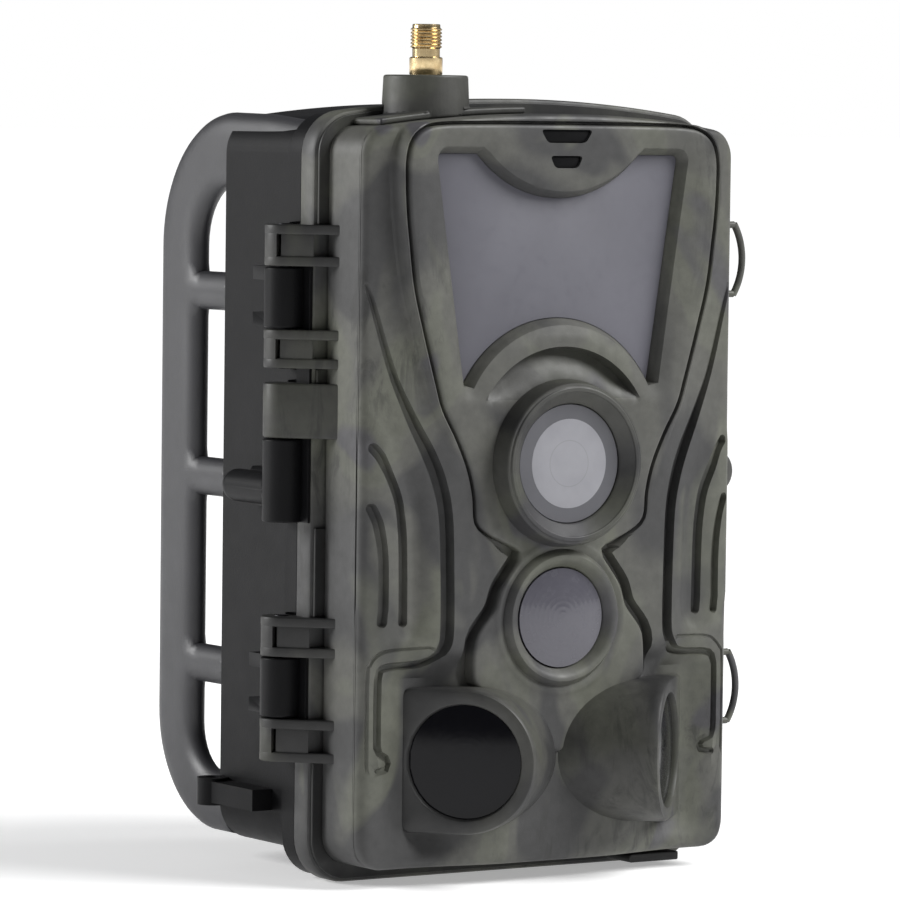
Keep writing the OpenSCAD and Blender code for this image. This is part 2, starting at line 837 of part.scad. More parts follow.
rear_shell();
bow_rail_left();
bow_rail_right();
bracket_screws();
battery_tray();
tray_screws();
battery_cells();
battery_contacts();
battery_springs();
battery_cover();
tripod_insert();
hinge_pins();
cable_sleeve();
hinge_cable();
lock_hook();
latch_pins();
front_housing();
front_frame();
fascia_plate();
ir_window();
indicator_windows();
lens_bezel();
lens_window();
lens_barrel();
lens_elements();
lens_holder();
ir_cut_filter();
sensor_board();
image_sensor();
pir_window();
side_window_left();
side_window_right();
pir_cells();
pir_board();
led_board();
ir_leds();
main_board();
lcd_screen();
inner_cover();
inner_cover_screws();
button_up();
button_down();
button_left();
button_right();
button_ok();
mode_switch();
speaker();
card_slot();
sim_slot();
dc_jack();
usb_port();
port_flap();
door_gasket();
antenna_boss();
sma_connector();
coax_lead();
latch_upper();
latch_lower();
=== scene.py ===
import json
import math

import bmesh
import bpy
import numpy as np
from mathutils import Matrix, Vector
from mathutils.geometry import delaunay_2d_cdt


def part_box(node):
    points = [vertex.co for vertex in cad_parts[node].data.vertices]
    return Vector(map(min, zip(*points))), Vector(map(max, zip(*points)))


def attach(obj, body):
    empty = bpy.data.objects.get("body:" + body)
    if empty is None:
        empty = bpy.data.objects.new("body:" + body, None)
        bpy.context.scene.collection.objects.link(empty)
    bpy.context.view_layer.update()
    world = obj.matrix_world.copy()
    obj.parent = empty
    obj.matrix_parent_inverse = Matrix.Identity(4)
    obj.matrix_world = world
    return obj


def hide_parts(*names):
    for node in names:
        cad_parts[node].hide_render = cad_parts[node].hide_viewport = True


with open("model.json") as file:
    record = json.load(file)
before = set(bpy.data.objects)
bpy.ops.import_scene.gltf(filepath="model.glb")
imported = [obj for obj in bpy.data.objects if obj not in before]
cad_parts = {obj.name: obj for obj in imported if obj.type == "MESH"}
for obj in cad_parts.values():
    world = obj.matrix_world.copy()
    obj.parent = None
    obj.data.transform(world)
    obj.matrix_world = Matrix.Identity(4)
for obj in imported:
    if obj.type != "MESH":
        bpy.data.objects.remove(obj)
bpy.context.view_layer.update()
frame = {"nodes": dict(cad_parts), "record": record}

MM = 0.001

# Measures of the case in millimetres, as in the CAD model
HALF_W = 48.5
CASE_H = 159.5
CORNER_R = 9.0
CROWN_R = 291.0
FACE_INSET = 3.0
NECK_INSET = 4.2
INNER_INSET = 5.5
Y_FASCIA = -37.7
Y_FASCIA_BACK = -33.55
Y_UNDER_FASCIA = -33.45
Y_BAND = -19.4
Y_FLANGE_FRONT = -18.6
Y_FLANGE_BACK = -13.3
Y_INNER = -31.0
LENS_Z = 85.6
PIR_Z = 54.0
SIDE_Z = 25.9
SIDE_X = 25.4
SIDE_Y = -40.98
SIDE_ANGLE = 45.0
HINGE_X = -51.0
HINGE_Y = -12.0
HINGES = [(24.9, 33.6, 46.2, 54.3), (104.6, 112.4, 125.2, 133.6)]
LUG_WIDTH = 2
BLOCK_Z = (90.5, 101.6)
BRACE_ZONE = ((-52, -9.2, 20), (-46.4, 0.4, 140))
ANTENNA = (-24.2, -22.0)
TAB_X = 53.5
TAB_Z = 81.35
TAB_R = 4.68
TAB_HOLE_R = 2.8
LATCH_X = 51.5
LATCH_Y = -6.0
LATCH_HEIGHTS = {"latch_upper": 126.4, "latch_lower": 36.0}
LOOP_Y = -20.65
HINGE_PLATE_SPANS = ((25.2, 54.0), (73.4, 133.4))

# Heights of the front relief along -Y
SHOULDER = 32.6
PANE_FOOT = 34.4
PLATE_LIP = 37.35

# Material rows of the front housing: row 0 is plain camouflage, rows 1 and 2 are its copies with painted
# shade
PAINTED_SHADE_TINT = 1
PAINTED_HALF_SHADE_TINT = 2

# Guide lines of the front relief for the +X half, as (x, z) pairs in millimetres
PLATE_EDGE = [
    (0, 154.3), (20, 154.2), (30, 153.9), (34, 153), (36.6, 150.9), (37.7, 147.5), (37.8, 143),
    (37.5, 137), (36.8, 130.9), (35.6, 122), (33.5, 113.7), (30.2, 102.2), (28.5, 97), (25.2, 91.1),
    (22.4, 84.9), (21, 79.4), (20.4, 74), (17.5, 71.4), (12.8, 69.2), (10.2, 67.8), (10.6, 66),
    (12, 64), (14.8, 60.2), (16.4, 55.9), (20, 51.4), (20.9, 48.3), (21, 42.5), (20, 40.6),
    (14.5, 38), (7, 32.5), (3.4, 28), (0, 26.4)]
# Centre line and width of the long groove
GROOVE = [
    (44.6, 121.8, 0.5), (42.9, 116.6, 0.7), (40.2, 107.6, 0.9), (38.1, 101.7, 1.1), (34.4, 93.8, 1.8),
    (31.4, 88, 2.3), (29.2, 82.5, 2.4), (27.7, 75.6, 2.3), (27.2, 64, 2.2), (27.1, 52.4, 2.2),
    (27.7, 49, 2), (29.6, 46.6, 1.5), (32.6, 45.5, 1.1), (39.2, 45.1, 1), (41, 44.3, 1),
    (41.5, 42.6, 1), (41.5, 29, 1), (40.9, 27.6, 1), (39, 26.7, 0.9), (38.4, 25.6, 0.9),
    (39, 24.5, 0.9), (41.2, 24.2, 0.8)]
# Foot of the step between the raised middle and the ribbed side panel
STEP = [
    (44.9, 97.2), (42.2, 93.3), (40, 89.8), (37.2, 86.3), (34.8, 81.6), (33.6, 75.8), (33.2, 64.2),
    (33.1, 56.5), (33.4, 53.6), (34.6, 51.9), (37, 51.6), (45, 51.6)]
SLOT_INNER = [(43, 89.2), (41.6, 87.5), (39.6, 83.6), (37.6, 78.9), (36.7, 73.9), (36.3, 68.1), (36.1, 54.2)]
SLOT_OUTER = [(43.4, 77.1), (42.2, 74.4), (41.3, 70.2), (40.9, 66.3), (40.8, 60.5), (40.9, 54.2)]
FINE_LINE = [(30.5, 48.9), (38.5, 48.5), (41.5, 47.6), (43.3, 45.6), (43.8, 43), (43.8, 25)]


# --- line helpers ---

def smooth_line(points, spacing=1.2):
    """Resamples a line of points with a Catmull-Rom curve; works on any number of columns."""
    p = np.array(points, float)
    p = np.vstack([2 * p[0] - p[1], p, 2 * p[-1] - p[-2]])
    out = []
    for i in range(1, len(p) - 2):
        a, b, c, d = p[i - 1:i + 3]
        steps = max(1, int(round(np.linalg.norm((c - b)[:2]) / spacing)))
        for t in np.linspace(0, 1, steps, endpoint=False):
            curve = 2 * b + (c - a) * t + (2 * a - 5 * b + 4 * c - d) * t * t
            out.append((curve + (3 * b - a - 3 * c + d) * t ** 3) / 2)
    return np.array(out + [p[-2]])


def line_normals(p, closed=False):
    """Unit vectors across a line at each of its points."""
    if closed:
        along = np.roll(p, -1, 0) - np.roll(p, 1, 0)
    else:
        along = np.gradient(p, axis=0)
    along /= np.maximum(np.linalg.norm(along, axis=1, keepdims=True), 1e-9)
    return np.stack([-along[:, 1], along[:, 0]], 1)


def beside(p, offset, closed=False):
    """The line moved sideways; the offset is one number or one for each point."""
    offset = np.broadcast_to(np.asarray(offset, float), (len(p),))
    return p[:, :2] + line_normals(p[:, :2], closed) * offset[:, None]


def inset_for(loop, amount):
    """The inward offset of a closed line, whichever way round it runs."""
    area = (loop[:, 0] * np.roll(loop[:, 1], -1) - np.roll(loop[:, 0], -1) * loop[:, 1]).sum()
    return beside(loop, amount if area > 0 else -amount, True)


def nearest(q, line, closed=False):
    """Distance from each point to a line, and how far along the line's points it is."""
    a = line[:, :2]
    b = np.roll(a, -1, 0) if closed else a[1:]
    a = a if closed else a[:-1]
    ab = b - a
    t = ((q[:, None] - a) * ab).sum(2) / np.maximum((ab * ab).sum(1), 1e-12)
    t = np.clip(t, 0, 1)
    d = np.linalg.norm(q[:, None] - (a + ab * t[..., None]), axis=2)
    k = d.argmin(1)
    row = np.arange(len(q))
    return d[row, k], k + t[row, k]


def inside(q, loop):
    """Which points lie in a closed line."""
    x, z = q[:, 0][:, None], q[:, 1][:, None]
    a, b = loop, np.roll(loop, -1, 0)
    crosses = (a[:, 1] > z) != (b[:, 1] > z)
    rise = np.where(np.abs(b[:, 1] - a[:, 1]) < 1e-12, 1e-12, b[:, 1] - a[:, 1])
    at = a[:, 0] + (z - a[:, 1]) / rise * (b[:, 0] - a[:, 0])
    return ((crosses & (x < at)).sum(1) % 2) == 1


def closed(loop):
    """The closed line with its first point repeated at the end."""
    return np.vstack([loop, loop[:1]])


def rectangle(x0, x1, y0, y1):
    return np.array([(x0, y0), (x1, y0), (x1, y1), (x0, y1)])


def arc(cx, cz, r, start, end, count):
    """Points on an arc, with its angles in degrees."""
    t = np.radians(np.linspace(start, end, count))
    return np.stack([cx + r * np.cos(t), cz + r * np.sin(t)], 1)


def ring(cx, cz, r, count):
    """Points on a full circle."""
    return arc(cx, cz, r, 0, 360, count + 1)[:-1]


def capsule(line, r):
    """Closed line round another one at a distance, with round ends."""
    r = np.broadcast_to(np.asarray(r, float), (len(line),))
    n = line_normals(line[:, :2])
    ends = []
    t = np.radians(np.linspace(0, 180, 9))[1:-1]
    for k, way in ((-1, 1), (0, -1)):
        side = n[k] * r[k] * way
        along = np.array([side[1], -side[0]])
        ends.append(line[k, :2] + np.outer(np.cos(t), side) + np.outer(np.sin(t), along))
    return closed(np.vstack([beside(line, r), ends[0], beside(line, -r)[::-1], ends[1]]))


def ramp(x, low, high):
    """Rises smoothly from 0 at low to 1 at high."""
    t = np.clip((x - low) / (high - low), 0, 1)
    return t * t * (3 - 2 * t)


def both_halves(half):
    """Closed line from its +X half, which starts and ends on the middle plane."""
    left = half[::-1][1:-1] * [-1, 1]
    return np.vstack([half, left])


def case_outline(inset):
    """Outline of the case, with the same number of points for every inset."""
    per_corner, per_side = 10, 60
    r = CORNER_R - min(inset, 5)
    base = inset + min(inset, 3) / 3
    a, big, low = HALF_W - inset, CROWN_R - inset, CASE_H - CROWN_R
    zc = low + math.sqrt((big - r) ** 2 - (a - r) ** 2)
    lean = math.degrees(math.atan2(a - r, zc - low))
    half = [np.stack([np.linspace(0, a - r, 24, endpoint=False), np.full(24, float(base))], 1),
            arc(a - r, base + r, r, -90, 0, per_corner),
            np.stack([np.full(per_side, a), np.linspace(base + r, zc, per_side + 2)[1:-1]], 1),
            arc(a - r, zc, r, 0, 90 - lean, per_corner),
            arc(0, low, big, 90 - lean, 90, 26)[1:]]
    return both_halves(np.vstack(half))


# --- mesh helpers ---

class Shape:
    """Closed bodies gathered in one mesh, in millimetres."""

    def __init__(self):
        self.points, self.faces, self.tints = [], [], []

    def add(self, points, faces, tint=0):
        first = len(self.points)
        self.points += [tuple(float(c) for c in p) for p in points]
        self.faces += [[first + int(i) for i in f] for f in faces]
        self.tints += [tint] * len(faces)

    def loft(self, loops, tint=0, wrap=False):
        """Skin through loops with the same number of points, capped or joined at the ends."""
        n, m = len(loops[0]), len(loops)
        faces = [(k * n + i, k * n + (i + 1) % n, (k + 1) % m * n + (i + 1) % n, (k + 1) % m * n + i)
                 for k in range(m if wrap else m - 1) for i in range(n)]
        if not wrap:
            faces += [list(range(n))[::-1], list(range((m - 1) * n, m * n))]
        self.add(np.vstack(loops), faces, tint)

    def hoop(self, loops, tint=0):
        """Skin through loops whose last joins the first again."""
        self.loft(loops, tint, True)


def linked(name, data):
    """New object in the scene."""
    thing = bpy.data.objects.new(name, data)
    bpy.context.scene.collection.objects.link(thing)
    return thing


def make_piece(name, shape, body, materials, stands_for=(), sharp=34):
    """Turns gathered bodies into one smooth-shaded object that rides on a CAD body."""
    mesh = bpy.data.meshes.new(name)
    mesh.from_pydata([tuple(c * MM for c in p) for p in shape.points], [], shape.faces)
    for m in materials:
        mesh.materials.append(m)
    mesh.polygons.foreach_set("material_index", shape.tints)
    piece = linked(name, mesh)
    bm = bmesh.new()
    bm.from_mesh(mesh)
    bmesh.ops.recalc_face_normals(bm, faces=bm.faces)
    bm.to_mesh(mesh)
    bm.free()
    finish_piece(piece, body, stands_for, sharp)
    return piece


def finish_piece(piece, body, stands_for, sharp):
    """Shades a piece smooth up to an angle and says what it belongs to."""
    piece.data.polygons.foreach_set("use_smooth", [True] * len(piece.data.polygons))
    piece.data.set_sharp_from_angle(angle=math.radians(sharp))
    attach(piece, body)
    if stands_for:
        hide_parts(*stands_for)


def in_brace_zone(edge):
    """True for edges of the small braces behind the hinge knuckles, which are too short to round."""
    middle = (edge.verts[0].co + edge.verts[1].co) / (2 * MM)
    return all(low < c < high for low, c, high in zip(BRACE_ZONE[0], middle, BRACE_ZONE[1]))


def round_edges(bm, width, clamp):
    """Bevel the sharp edges of a mesh."""
    limit = math.radians(33)
    sharp = [e for e in bm.edges if e.is_manifold and abs(e.calc_face_angle(0)) > limit]
    sharp = [e for e in sharp if not in_brace_zone(e)]
    bmesh.ops.bevel(bm, geom=sharp, offset=width * MM, offset_type="OFFSET", segments=3,
                    profile=0.5, affect="EDGES", clamp_overlap=clamp)


def past_box(bm, box, slack=2e-5):
    """True where any point of a mesh lies outside a box."""
    low, high = box
    return any(not (low[i] - slack <= v.co[i] <= high[i] + slack) for v in bm.verts for i in range(3))


def softened(node, body, material, width):
    """A CAD node with rounded edges."""
    source = frame["nodes"][node]
    mesh = bpy.data.meshes.new(node + "_soft")
    bm = bmesh.new()
    bm.from_mesh(source.data)
    bmesh.ops.remove_doubles(bm, verts=bm.verts, dist=2e-6)
    bmesh.ops.dissolve_limit(bm, angle_limit=math.radians(0.5), verts=bm.verts, edges=bm.edges)
    plain = bm.copy()
    round_edges(bm, width, False)
    if past_box(bm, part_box(node)):
        bm = plain
        round_edges(bm, width, True)
    bm.to_mesh(mesh)
    mesh.materials.clear()
    mesh.materials.append(material)
    mesh.polygons.foreach_set("material_index", [0] * len(mesh.polygons))
    piece = linked(node + "_soft", mesh)
    finish_piece(piece, body, [node], 38)
    flats = piece.modifiers.new("flats", "WEIGHTED_NORMAL")
    flats.keep_sharp, flats.weight = True, 80
    return piece


def on_front(loop, y):
    """Loop in X and Z, set at a depth."""
    return np.stack([loop[:, 0], np.broadcast_to(y, (len(loop),)), loop[:, 1]], 1)


def relief(shape, outline, holes, lines, height, y_back, spacing, mirror_back=False):
    """Closed body with a sculpted front: a triangulated height field, its walls and its back."""
    low, high = outline.min(0), outline.max(0)
    gx = np.arange(low[0] + spacing / 2, high[0], spacing)
    gz = np.arange(low[1] + spacing / 2, high[1], spacing)
    grid = np.stack(np.meshgrid(gx, gz), -1).reshape(-1, 2)
    near_any = np.full(len(grid), 1e9)
    for line in list(lines) + [outline] + list(holes):
        near_any = np.minimum(near_any, nearest(grid, line)[0])
    grid = grid[(near_any > spacing * 0.4) & inside(grid, outline)]
    points, edges = [], []
    for k, line in enumerate([outline] + list(holes) + list(lines)):
        first, n = len(points), len(line)
        points += [Vector(p[:2]) for p in line]
        edges += [(first + i, first + (i + 1) % n) for i in range(n if k <= len(holes) else n - 1)]
    points += [Vector(p) for p in grid]
    v, _, f, *_ = delaunay_2d_cdt(points, edges, [], 0, 1e-4)
    flat, f = np.array([tuple(p) for p in v]), np.array(f)
    middle = flat[f].mean(1)
    keep = inside(middle, outline)
    for hole in holes:
        keep &= ~inside(middle, hole)
    f = f[keep]
    used, f = np.unique(f, return_inverse=True)
    flat, f = flat[used], f.reshape(-1, 3)
    front = height(flat)
    close_relief(shape, flat, f, front, -front if mirror_back else y_back)


def close_relief(shape, flat, f, y_front, y_back):
    """Adds the front triangles, the same triangles at the back, and walls round every open edge."""
    n = len(flat)
    front = on_front(flat, y_front)
    back = on_front(flat, y_back)
    seen = {}
    for a, b, c in f:
        for e in ((a, b), (b, c), (c, a)):
            seen[e] = True
    rim = [(a, b) for a, b in seen if (b, a) not in seen]
    faces = [tuple(t) for t in f] + [(c + n, b + n, a + n) for a, b, c in f]
    faces += [(b, a, a + n, b + n) for a, b in rim]
    shape.add(np.vstack([front, back]), faces)


def rounding(edge, steps):
    """Inset and rise at each step of a rounded edge."""
    turns = [math.pi / 2 * i / steps for i in range(steps + 1)]
    return [(edge * (1 - math.sin(t)), edge * (1 - math.cos(t))) for t in turns]


def slab(shape, outline, y_front, y_back, edge):
    """Plate with an outline in X and Z and rounded edges all round."""
    loops = [on_front(inset_for(outline, a), y_front + b) for a, b in rounding(edge, 2)]
    loops += [on_front(p[:, [0, 2]], y_front + y_back - p[0, 1]) for p in loops[::-1]]
    shape.loft(loops)


def bar(shape, plan, z0, z1, edge, tint=0):
    """Prism along Z over a plan in X and Y, with rounded ends."""
    n = len(plan)
    loops = [np.column_stack([inset_for(plan, a), np.full(n, z0 + b)]) for a, b in rounding(edge, 3)]
    loops += [np.column_stack([p[:, :2], np.full(len(p), z0 + z1 - p[0, 2])]) for p in loops[::-1]]
    shape.loft(loops, tint)


def turned_loops(profile, place, count):
    """One circle for each (radius, distance) of a profile, about the Z axis of a matrix."""
    return [np.array([place @ Vector((a, b, w)) for a, b in ring(0, 0, r, count)]) for r, w in profile]


def turned(shape, profile, place, count=96):
    """Turned body with a closed profile."""
    shape.hoop(turned_loops(profile, place, count))


def solid_turned(shape, profile, place, tint=0, count=96):
    """Turned body without a bore, from its lowest to its highest profile point."""
    shape.loft(turned_loops(profile, place, count), tint)


def facing_front(x, z, y):
    """Matrix whose Z axis looks forward, towards -Y."""
    return Matrix.Translation((x, y, z)) @ Matrix.Rotation(math.radians(90), 4, "X")


def side_place(side):
    """Matrix of a side sensor: origin at the middle of its mouth, Z axis outwards."""
    turn = Matrix.Rotation(math.radians(side * SIDE_ANGLE), 4, "Z")
    tilt = Matrix.Rotation(math.radians(90), 4, "X")
    return Matrix.Translation((side * SIDE_X, SIDE_Y, SIDE_Z)) @ turn @ tilt


def upright(x, y, z=0):
    """Matrix whose Z axis stays upright."""
    return Matrix.Translation((x, y, z))


# --- materials ---

class Nodes:
    """Short way to write a node tree."""

    def __init__(self, name):
        self.material = bpy.data.materials.new(name)
        self.material.use_nodes = True
        self.tree = self.material.node_tree
        self.shader = next(n for n in self.tree.nodes if n.type == "BSDF_PRINCIPLED")
        self.place = self.make("ShaderNodeTexCoord").outputs["Object"]

    def put(self, socket, value):
        """Links a socket to another one, or sets its value; colours are given without alpha."""
        if isinstance(value, bpy.types.NodeSocket):
            self.tree.links.new(value, socket)
        else:
            socket.default_value = (*value, 1) if socket.type == "RGBA" else value

    def make(self, kind, settings=(), **inputs):
        """New node with its settings and its named inputs."""
        node = self.tree.nodes.new(kind)
        for key, value in dict(settings).items():
            setattr(node, key, value)
        for key, value in inputs.items():
            self.put(node.inputs[key.replace("_", " ")], value)
        return node

    def scaled(self, scale):
        return self.make("ShaderNodeMapping", Vector=self.place, Scale=scale).outputs[0]

    def noise(self, scale, detail=3.0, rough=0.5, distortion=0.0, at=None):
        return self.make("ShaderNodeTexNoise", Vector=at or self.place, Scale=scale, Detail=detail,
                         Roughness=rough, Distortion=distortion).outputs["Fac"]

    def ramp(self, value, stops):
        node = self.make("ShaderNodeValToRGB", Fac=value)
        band = node.color_ramp
        while len(band.elements) < len(stops):
            band.elements.new(0.5)
        for element, (at, colour) in zip(band.elements, stops):
            element.position = at
            element.color = (*colour, 1)
        return node.outputs["Color"]

    def grey(self, value, low, high, a=0.0, b=1.0):
        """Grey that runs from a to b while the value runs from low to high."""
        return self.ramp(value, [(low, (a, a, a)), (high, (b, b, b))])

    def spread(self, noise, a, b):
        """Grey from a to b over the usual range of a noise."""
        return self.grey(noise, 0.3, 0.7, a, b)

    def mix(self, fac, a, b, blend="MIX"):
        node = self.make("ShaderNodeMix", {"data_type": "RGBA", "blend_type": blend})
        for index, value in ((0, fac), (6, a), (7, b)):
            self.put(node.inputs[index], value)
        return node.outputs[2]

    def times(self, a, b):
        node = self.make("ShaderNodeMath", {"operation": "MULTIPLY"})
        self.put(node.inputs[0], a)
        self.put(node.inputs[1], b)
        return node.outputs[0]

    def bump(self, height, strength, distance, normal=None):
        extra = {"Normal": normal} if normal else {}
        return self.make("ShaderNodeBump", Height=height, Strength=strength, Distance=distance,
                         **extra).outputs[0]

    def finish(self, colour, roughness, normal=None, **fixed):
        """Sets the shader's inputs and gives back the material."""
        named = {"Base Color": colour, "Roughness": roughness, "Normal": normal}
        named.update({key.replace("_", " "): value for key, value in fixed.items()})
        for key, value in named.items():
            if value is not None:
                self.put(self.shader.inputs[key], value)
        return self.material


def camouflage(name, tone_and_painted_shade):
    """Plastic with soft patches of olive and dark grey, and fine bark-like streaks."""
    n = Nodes(name)
    patches = n.noise(24, 2.0, 0.45, 1.4, n.scaled((1.0, 0.8, 0.75)))
    base = n.ramp(patches, [(0.0, (0.038, 0.038, 0.038)), (0.42, (0.042, 0.042, 0.042)),
                            (0.47, (0.078, 0.078, 0.07)), (0.53, (0.084, 0.084, 0.074)),
                            (0.55, (0.096, 0.098, 0.081)), (0.6, (0.09, 0.092, 0.075)),
                            (0.63, (0.062, 0.061, 0.065))])
    second = n.noise(40, 2.0, 0.5, 0.8, n.scaled((1.0, 1.0, 0.6)))
    base = n.mix(n.grey(second, 0.6, 0.66, 0.0, 0.75), base, (0.1, 0.103, 0.081))
    bark = n.noise(150, 6.0, 0.7, 1.6, n.scaled((1.0, 1.0, 0.28)))
    where = n.grey(n.noise(17, 1.0, 0.5, 0.0), 0.5, 0.62)
    streak = n.grey(bark, 0.36, 0.5, 0.65, 0.0)
    base = n.mix(n.times(where, streak), base, (0.022, 0.022, 0.02))
    # The whole colour is darkened by this factor: near one it sets the plastic's tone, well below one it
    # paints shade into the colour
    mottle = n.spread(n.noise(420, 4.0, 0.6), 0.86 * tone_and_painted_shade, 1.12 * tone_and_painted_shade)
    tinted = n.mix(1.0, base, mottle, "MULTIPLY")
    grain = n.bump(n.noise(2600, 3.0, 0.6), 0.18, 0.0001)
    waves = n.bump(n.noise(120, 3.0), 0.08, 0.0004, grain)
    rough = n.spread(n.noise(300, 4.0), 0.46, 0.6)
    return n.finish(tinted, rough, waves, Specular_IOR_Level=0.45)


def textured_black(name, low, high, gloss):
    """Charcoal plastic, slightly blue, with the fine spark-eroded texture of the rear shell."""
    n = Nodes(name)
    blue = 1.12
    stops = [(0.3, (low, low, low * blue)), (0.7, (high, high, high * blue))]
    tone = n.ramp(n.noise(90, 4.0, 0.6), stops)
    grain = n.bump(n.noise(3200, 2.0, 0.6), 0.3, 0.00012)
    soft = n.bump(n.noise(160, 3.0), 0.06, 0.0004, grain)
    rough = n.spread(n.noise(240, 4.0), 0.42, 0.48)
    return n.finish(tone, rough, soft, Specular_IOR_Level=gloss)


def grey_plastic():
    n = Nodes("grey_plastic")
    tone = n.ramp(n.noise(120, 3.0), [(0.3, (0.085, 0.085, 0.09)), (0.7, (0.11, 0.11, 0.115))])
    grain = n.bump(n.noise(2400, 2.0), 0.2, 0.0001)
    return n.finish(tone, n.spread(n.noise(300, 3.0), 0.35, 0.5), grain)


def plated(name, light, dark, low, high):
    """Plated metal with brushed streaks and slight tarnish."""
    n = Nodes(name)
    streaks = n.noise(900, 4.0, 0.6, 0.0, n.scaled((1.0, 1.0, 0.15)))
    tone = n.mix(n.grey(n.noise(260, 5.0, 0.7), 0.42, 0.68), light, dark)
    rough = n.grey(streaks, 0.3, 0.7, low, high)
    return n.finish(tone, rough, n.bump(streaks, 0.05, 0.00005), Metallic=1.0)


def rubber():
    n = Nodes("rubber")
    tone = n.ramp(n.noise(150, 4.0), [(0.3, (0.012, 0.012, 0.012)), (0.7, (0.02, 0.02, 0.02))])
    rough = n.spread(n.noise(200, 3.0), 0.62, 0.78)
    return n.finish(tone, rough, n.bump(n.noise(1800, 3.0), 0.3, 0.0001))


def cell_jacket():
    """Plain printed sleeve of a cell."""
    n = Nodes("cell_jacket")
    tone = n.ramp(n.noise(60, 2.0), [(0.35, (0.42, 0.27, 0.07)), (0.65, (0.5, 0.33, 0.1))])
    return n.finish(tone, n.spread(n.noise(200, 3.0), 0.2, 0.32), None, Coat_Weight=0.4)


def board_green():
    """Solder mask with traces under it."""
    n = Nodes("circuit_board")
    cells = n.make("ShaderNodeTexBrick", Vector=n.place, Scale=260.0, Color1=(0.012, 0.07, 0.035),
                   Color2=(0.016, 0.09, 0.045), Mortar=(0.03, 0.15, 0.07))
    height = n.make("ShaderNodeRGBToBW", Color=cells.outputs[0]).outputs[0]
    return n.finish(cells.outputs[0], 0.32, n.bump(height, 0.3, 0.0001), Coat_Weight=0.3)


def smoked(name, tone, rough, coat=0.5, gloss=0.5):
    """Dark glossy window with faint mottling."""
    n = Nodes(name)
    low = tuple(c * 0.92 for c in tone)
    colour = n.ramp(n.noise(45, 2.0), [(0.35, low), (0.65, tone)])
    haze = n.spread(n.noise(500, 3.0), rough, rough * 1.5)
    return n.finish(colour, haze, None, Coat_Weight=coat, Coat_Roughness=0.05, IOR=1.5,
                    Specular_IOR_Level=gloss)


def clear_glass():
    n = Nodes("clear_glass")
    haze = n.spread(n.noise(600, 3.0), 0.02, 0.06)
    return n.finish((0.85, 0.88, 0.95), haze, None, Transmission_Weight=0.9, IOR=1.5)


def frosted(name, light, dark):
    """Milky disc, slightly uneven."""
    n = Nodes(name)
    colour = n.mix(n.grey(n.noise(260, 4.0), 0.3, 0.7), light, dark)
    rough = n.spread(n.noise(400, 3.0), 0.3, 0.42)
    return n.finish(colour, rough, n.bump(n.noise(900, 3.0), 0.1, 0.0001))


def floor_material():
    """Near-white floor that glows a little, so that it runs into the backdrop."""
    n = Nodes("studio_floor")
    colour = n.ramp(n.noise(3, 3.0), [(0.3, (0.85, 0.85, 0.85)), (0.7, (0.87, 0.87, 0.87))])
    return n.finish(colour, 0.7, n.bump(n.noise(60, 3.0), 0.03, 0.001), Emission_Color=(1, 1, 1),
                    Emission_Strength=0.34)


CAMO = camouflage("camo_plastic", 0.94)
# Darker copies of the camouflage, with shade painted into their colour
PAINTED_HALF_SHADE_CAMO = camouflage("camo_plastic_painted_half_shade", 0.56)
PAINTED_SHADE_CAMO = camouflage("camo_plastic_painted_shade", 0.36)
BLACK = textured_black("black_plastic", 0.0045, 0.0065, 0.12)
# Lighter, glossier copy of the black plastic for the rails, with light painted into its colour
RAIL_PAINTED_LIGHT_BLACK = textured_black("black_plastic_rail_painted_light", 0.026, 0.032, 0.5)
GREY = grey_plastic()
STEEL = plated("steel", (0.66, 0.66, 0.68), (0.42, 0.42, 0.43), 0.18, 0.34)
DARK_STEEL = plated("steel_blackened", (0.05, 0.05, 0.055), (0.03, 0.03, 0.03), 0.35, 0.5)
BRASS = plated("brass", (0.8, 0.63, 0.36), (0.48, 0.34, 0.17), 0.16, 0.32)
RUBBER = rubber()
CELL = cell_jacket()
BOARD = board_green()
PANE = smoked("dark_window_pane", (0.1, 0.099, 0.118), 0.42, 0.0)
BLACK_PANE = smoked("dark_window_black", (0.003, 0.003, 0.0035), 0.4, 0.0, 0.1)
DOME = smoked("dark_window_dome", (0.075, 0.073, 0.09), 0.2, 0.4)
DARK_DOME = smoked("dark_window_side", (0.003, 0.003, 0.0045), 0.1, 0.0, 0.2)
GLASS = clear_glass()
RIM_GLASS = frosted("clear_glass_rim", (0.085, 0.085, 0.095), (0.075, 0.075, 0.085))
FROST = frosted("clear_glass_frost", (0.25, 0.25, 0.27), (0.225, 0.225, 0.245))
FROST_INNER = frosted("clear_glass_inner", (0.215, 0.215, 0.23), (0.195, 0.195, 0.21))


# --- front housing ---

PLATE = both_halves(smooth_line(PLATE_EDGE, 1.3))
FACE = case_outline(FACE_INSET)
GROOVE_LINE = smooth_line(GROOVE)
STEP_LINE = smooth_line(STEP)
SLOTS = [smooth_line(SLOT_INNER), smooth_line(SLOT_OUTER)]
FINE = smooth_line(FINE_LINE)


def cut(q, line, width, depth, soft=0.35):
    """Depth of a rounded channel along a line."""
    d, k = nearest(q, line)
    w = width if np.isscalar(width) else np.interp(k, np.arange(len(line)), width)
    return depth * (1 - ramp(d, w / 2 - soft * 0.2, w / 2 + soft))


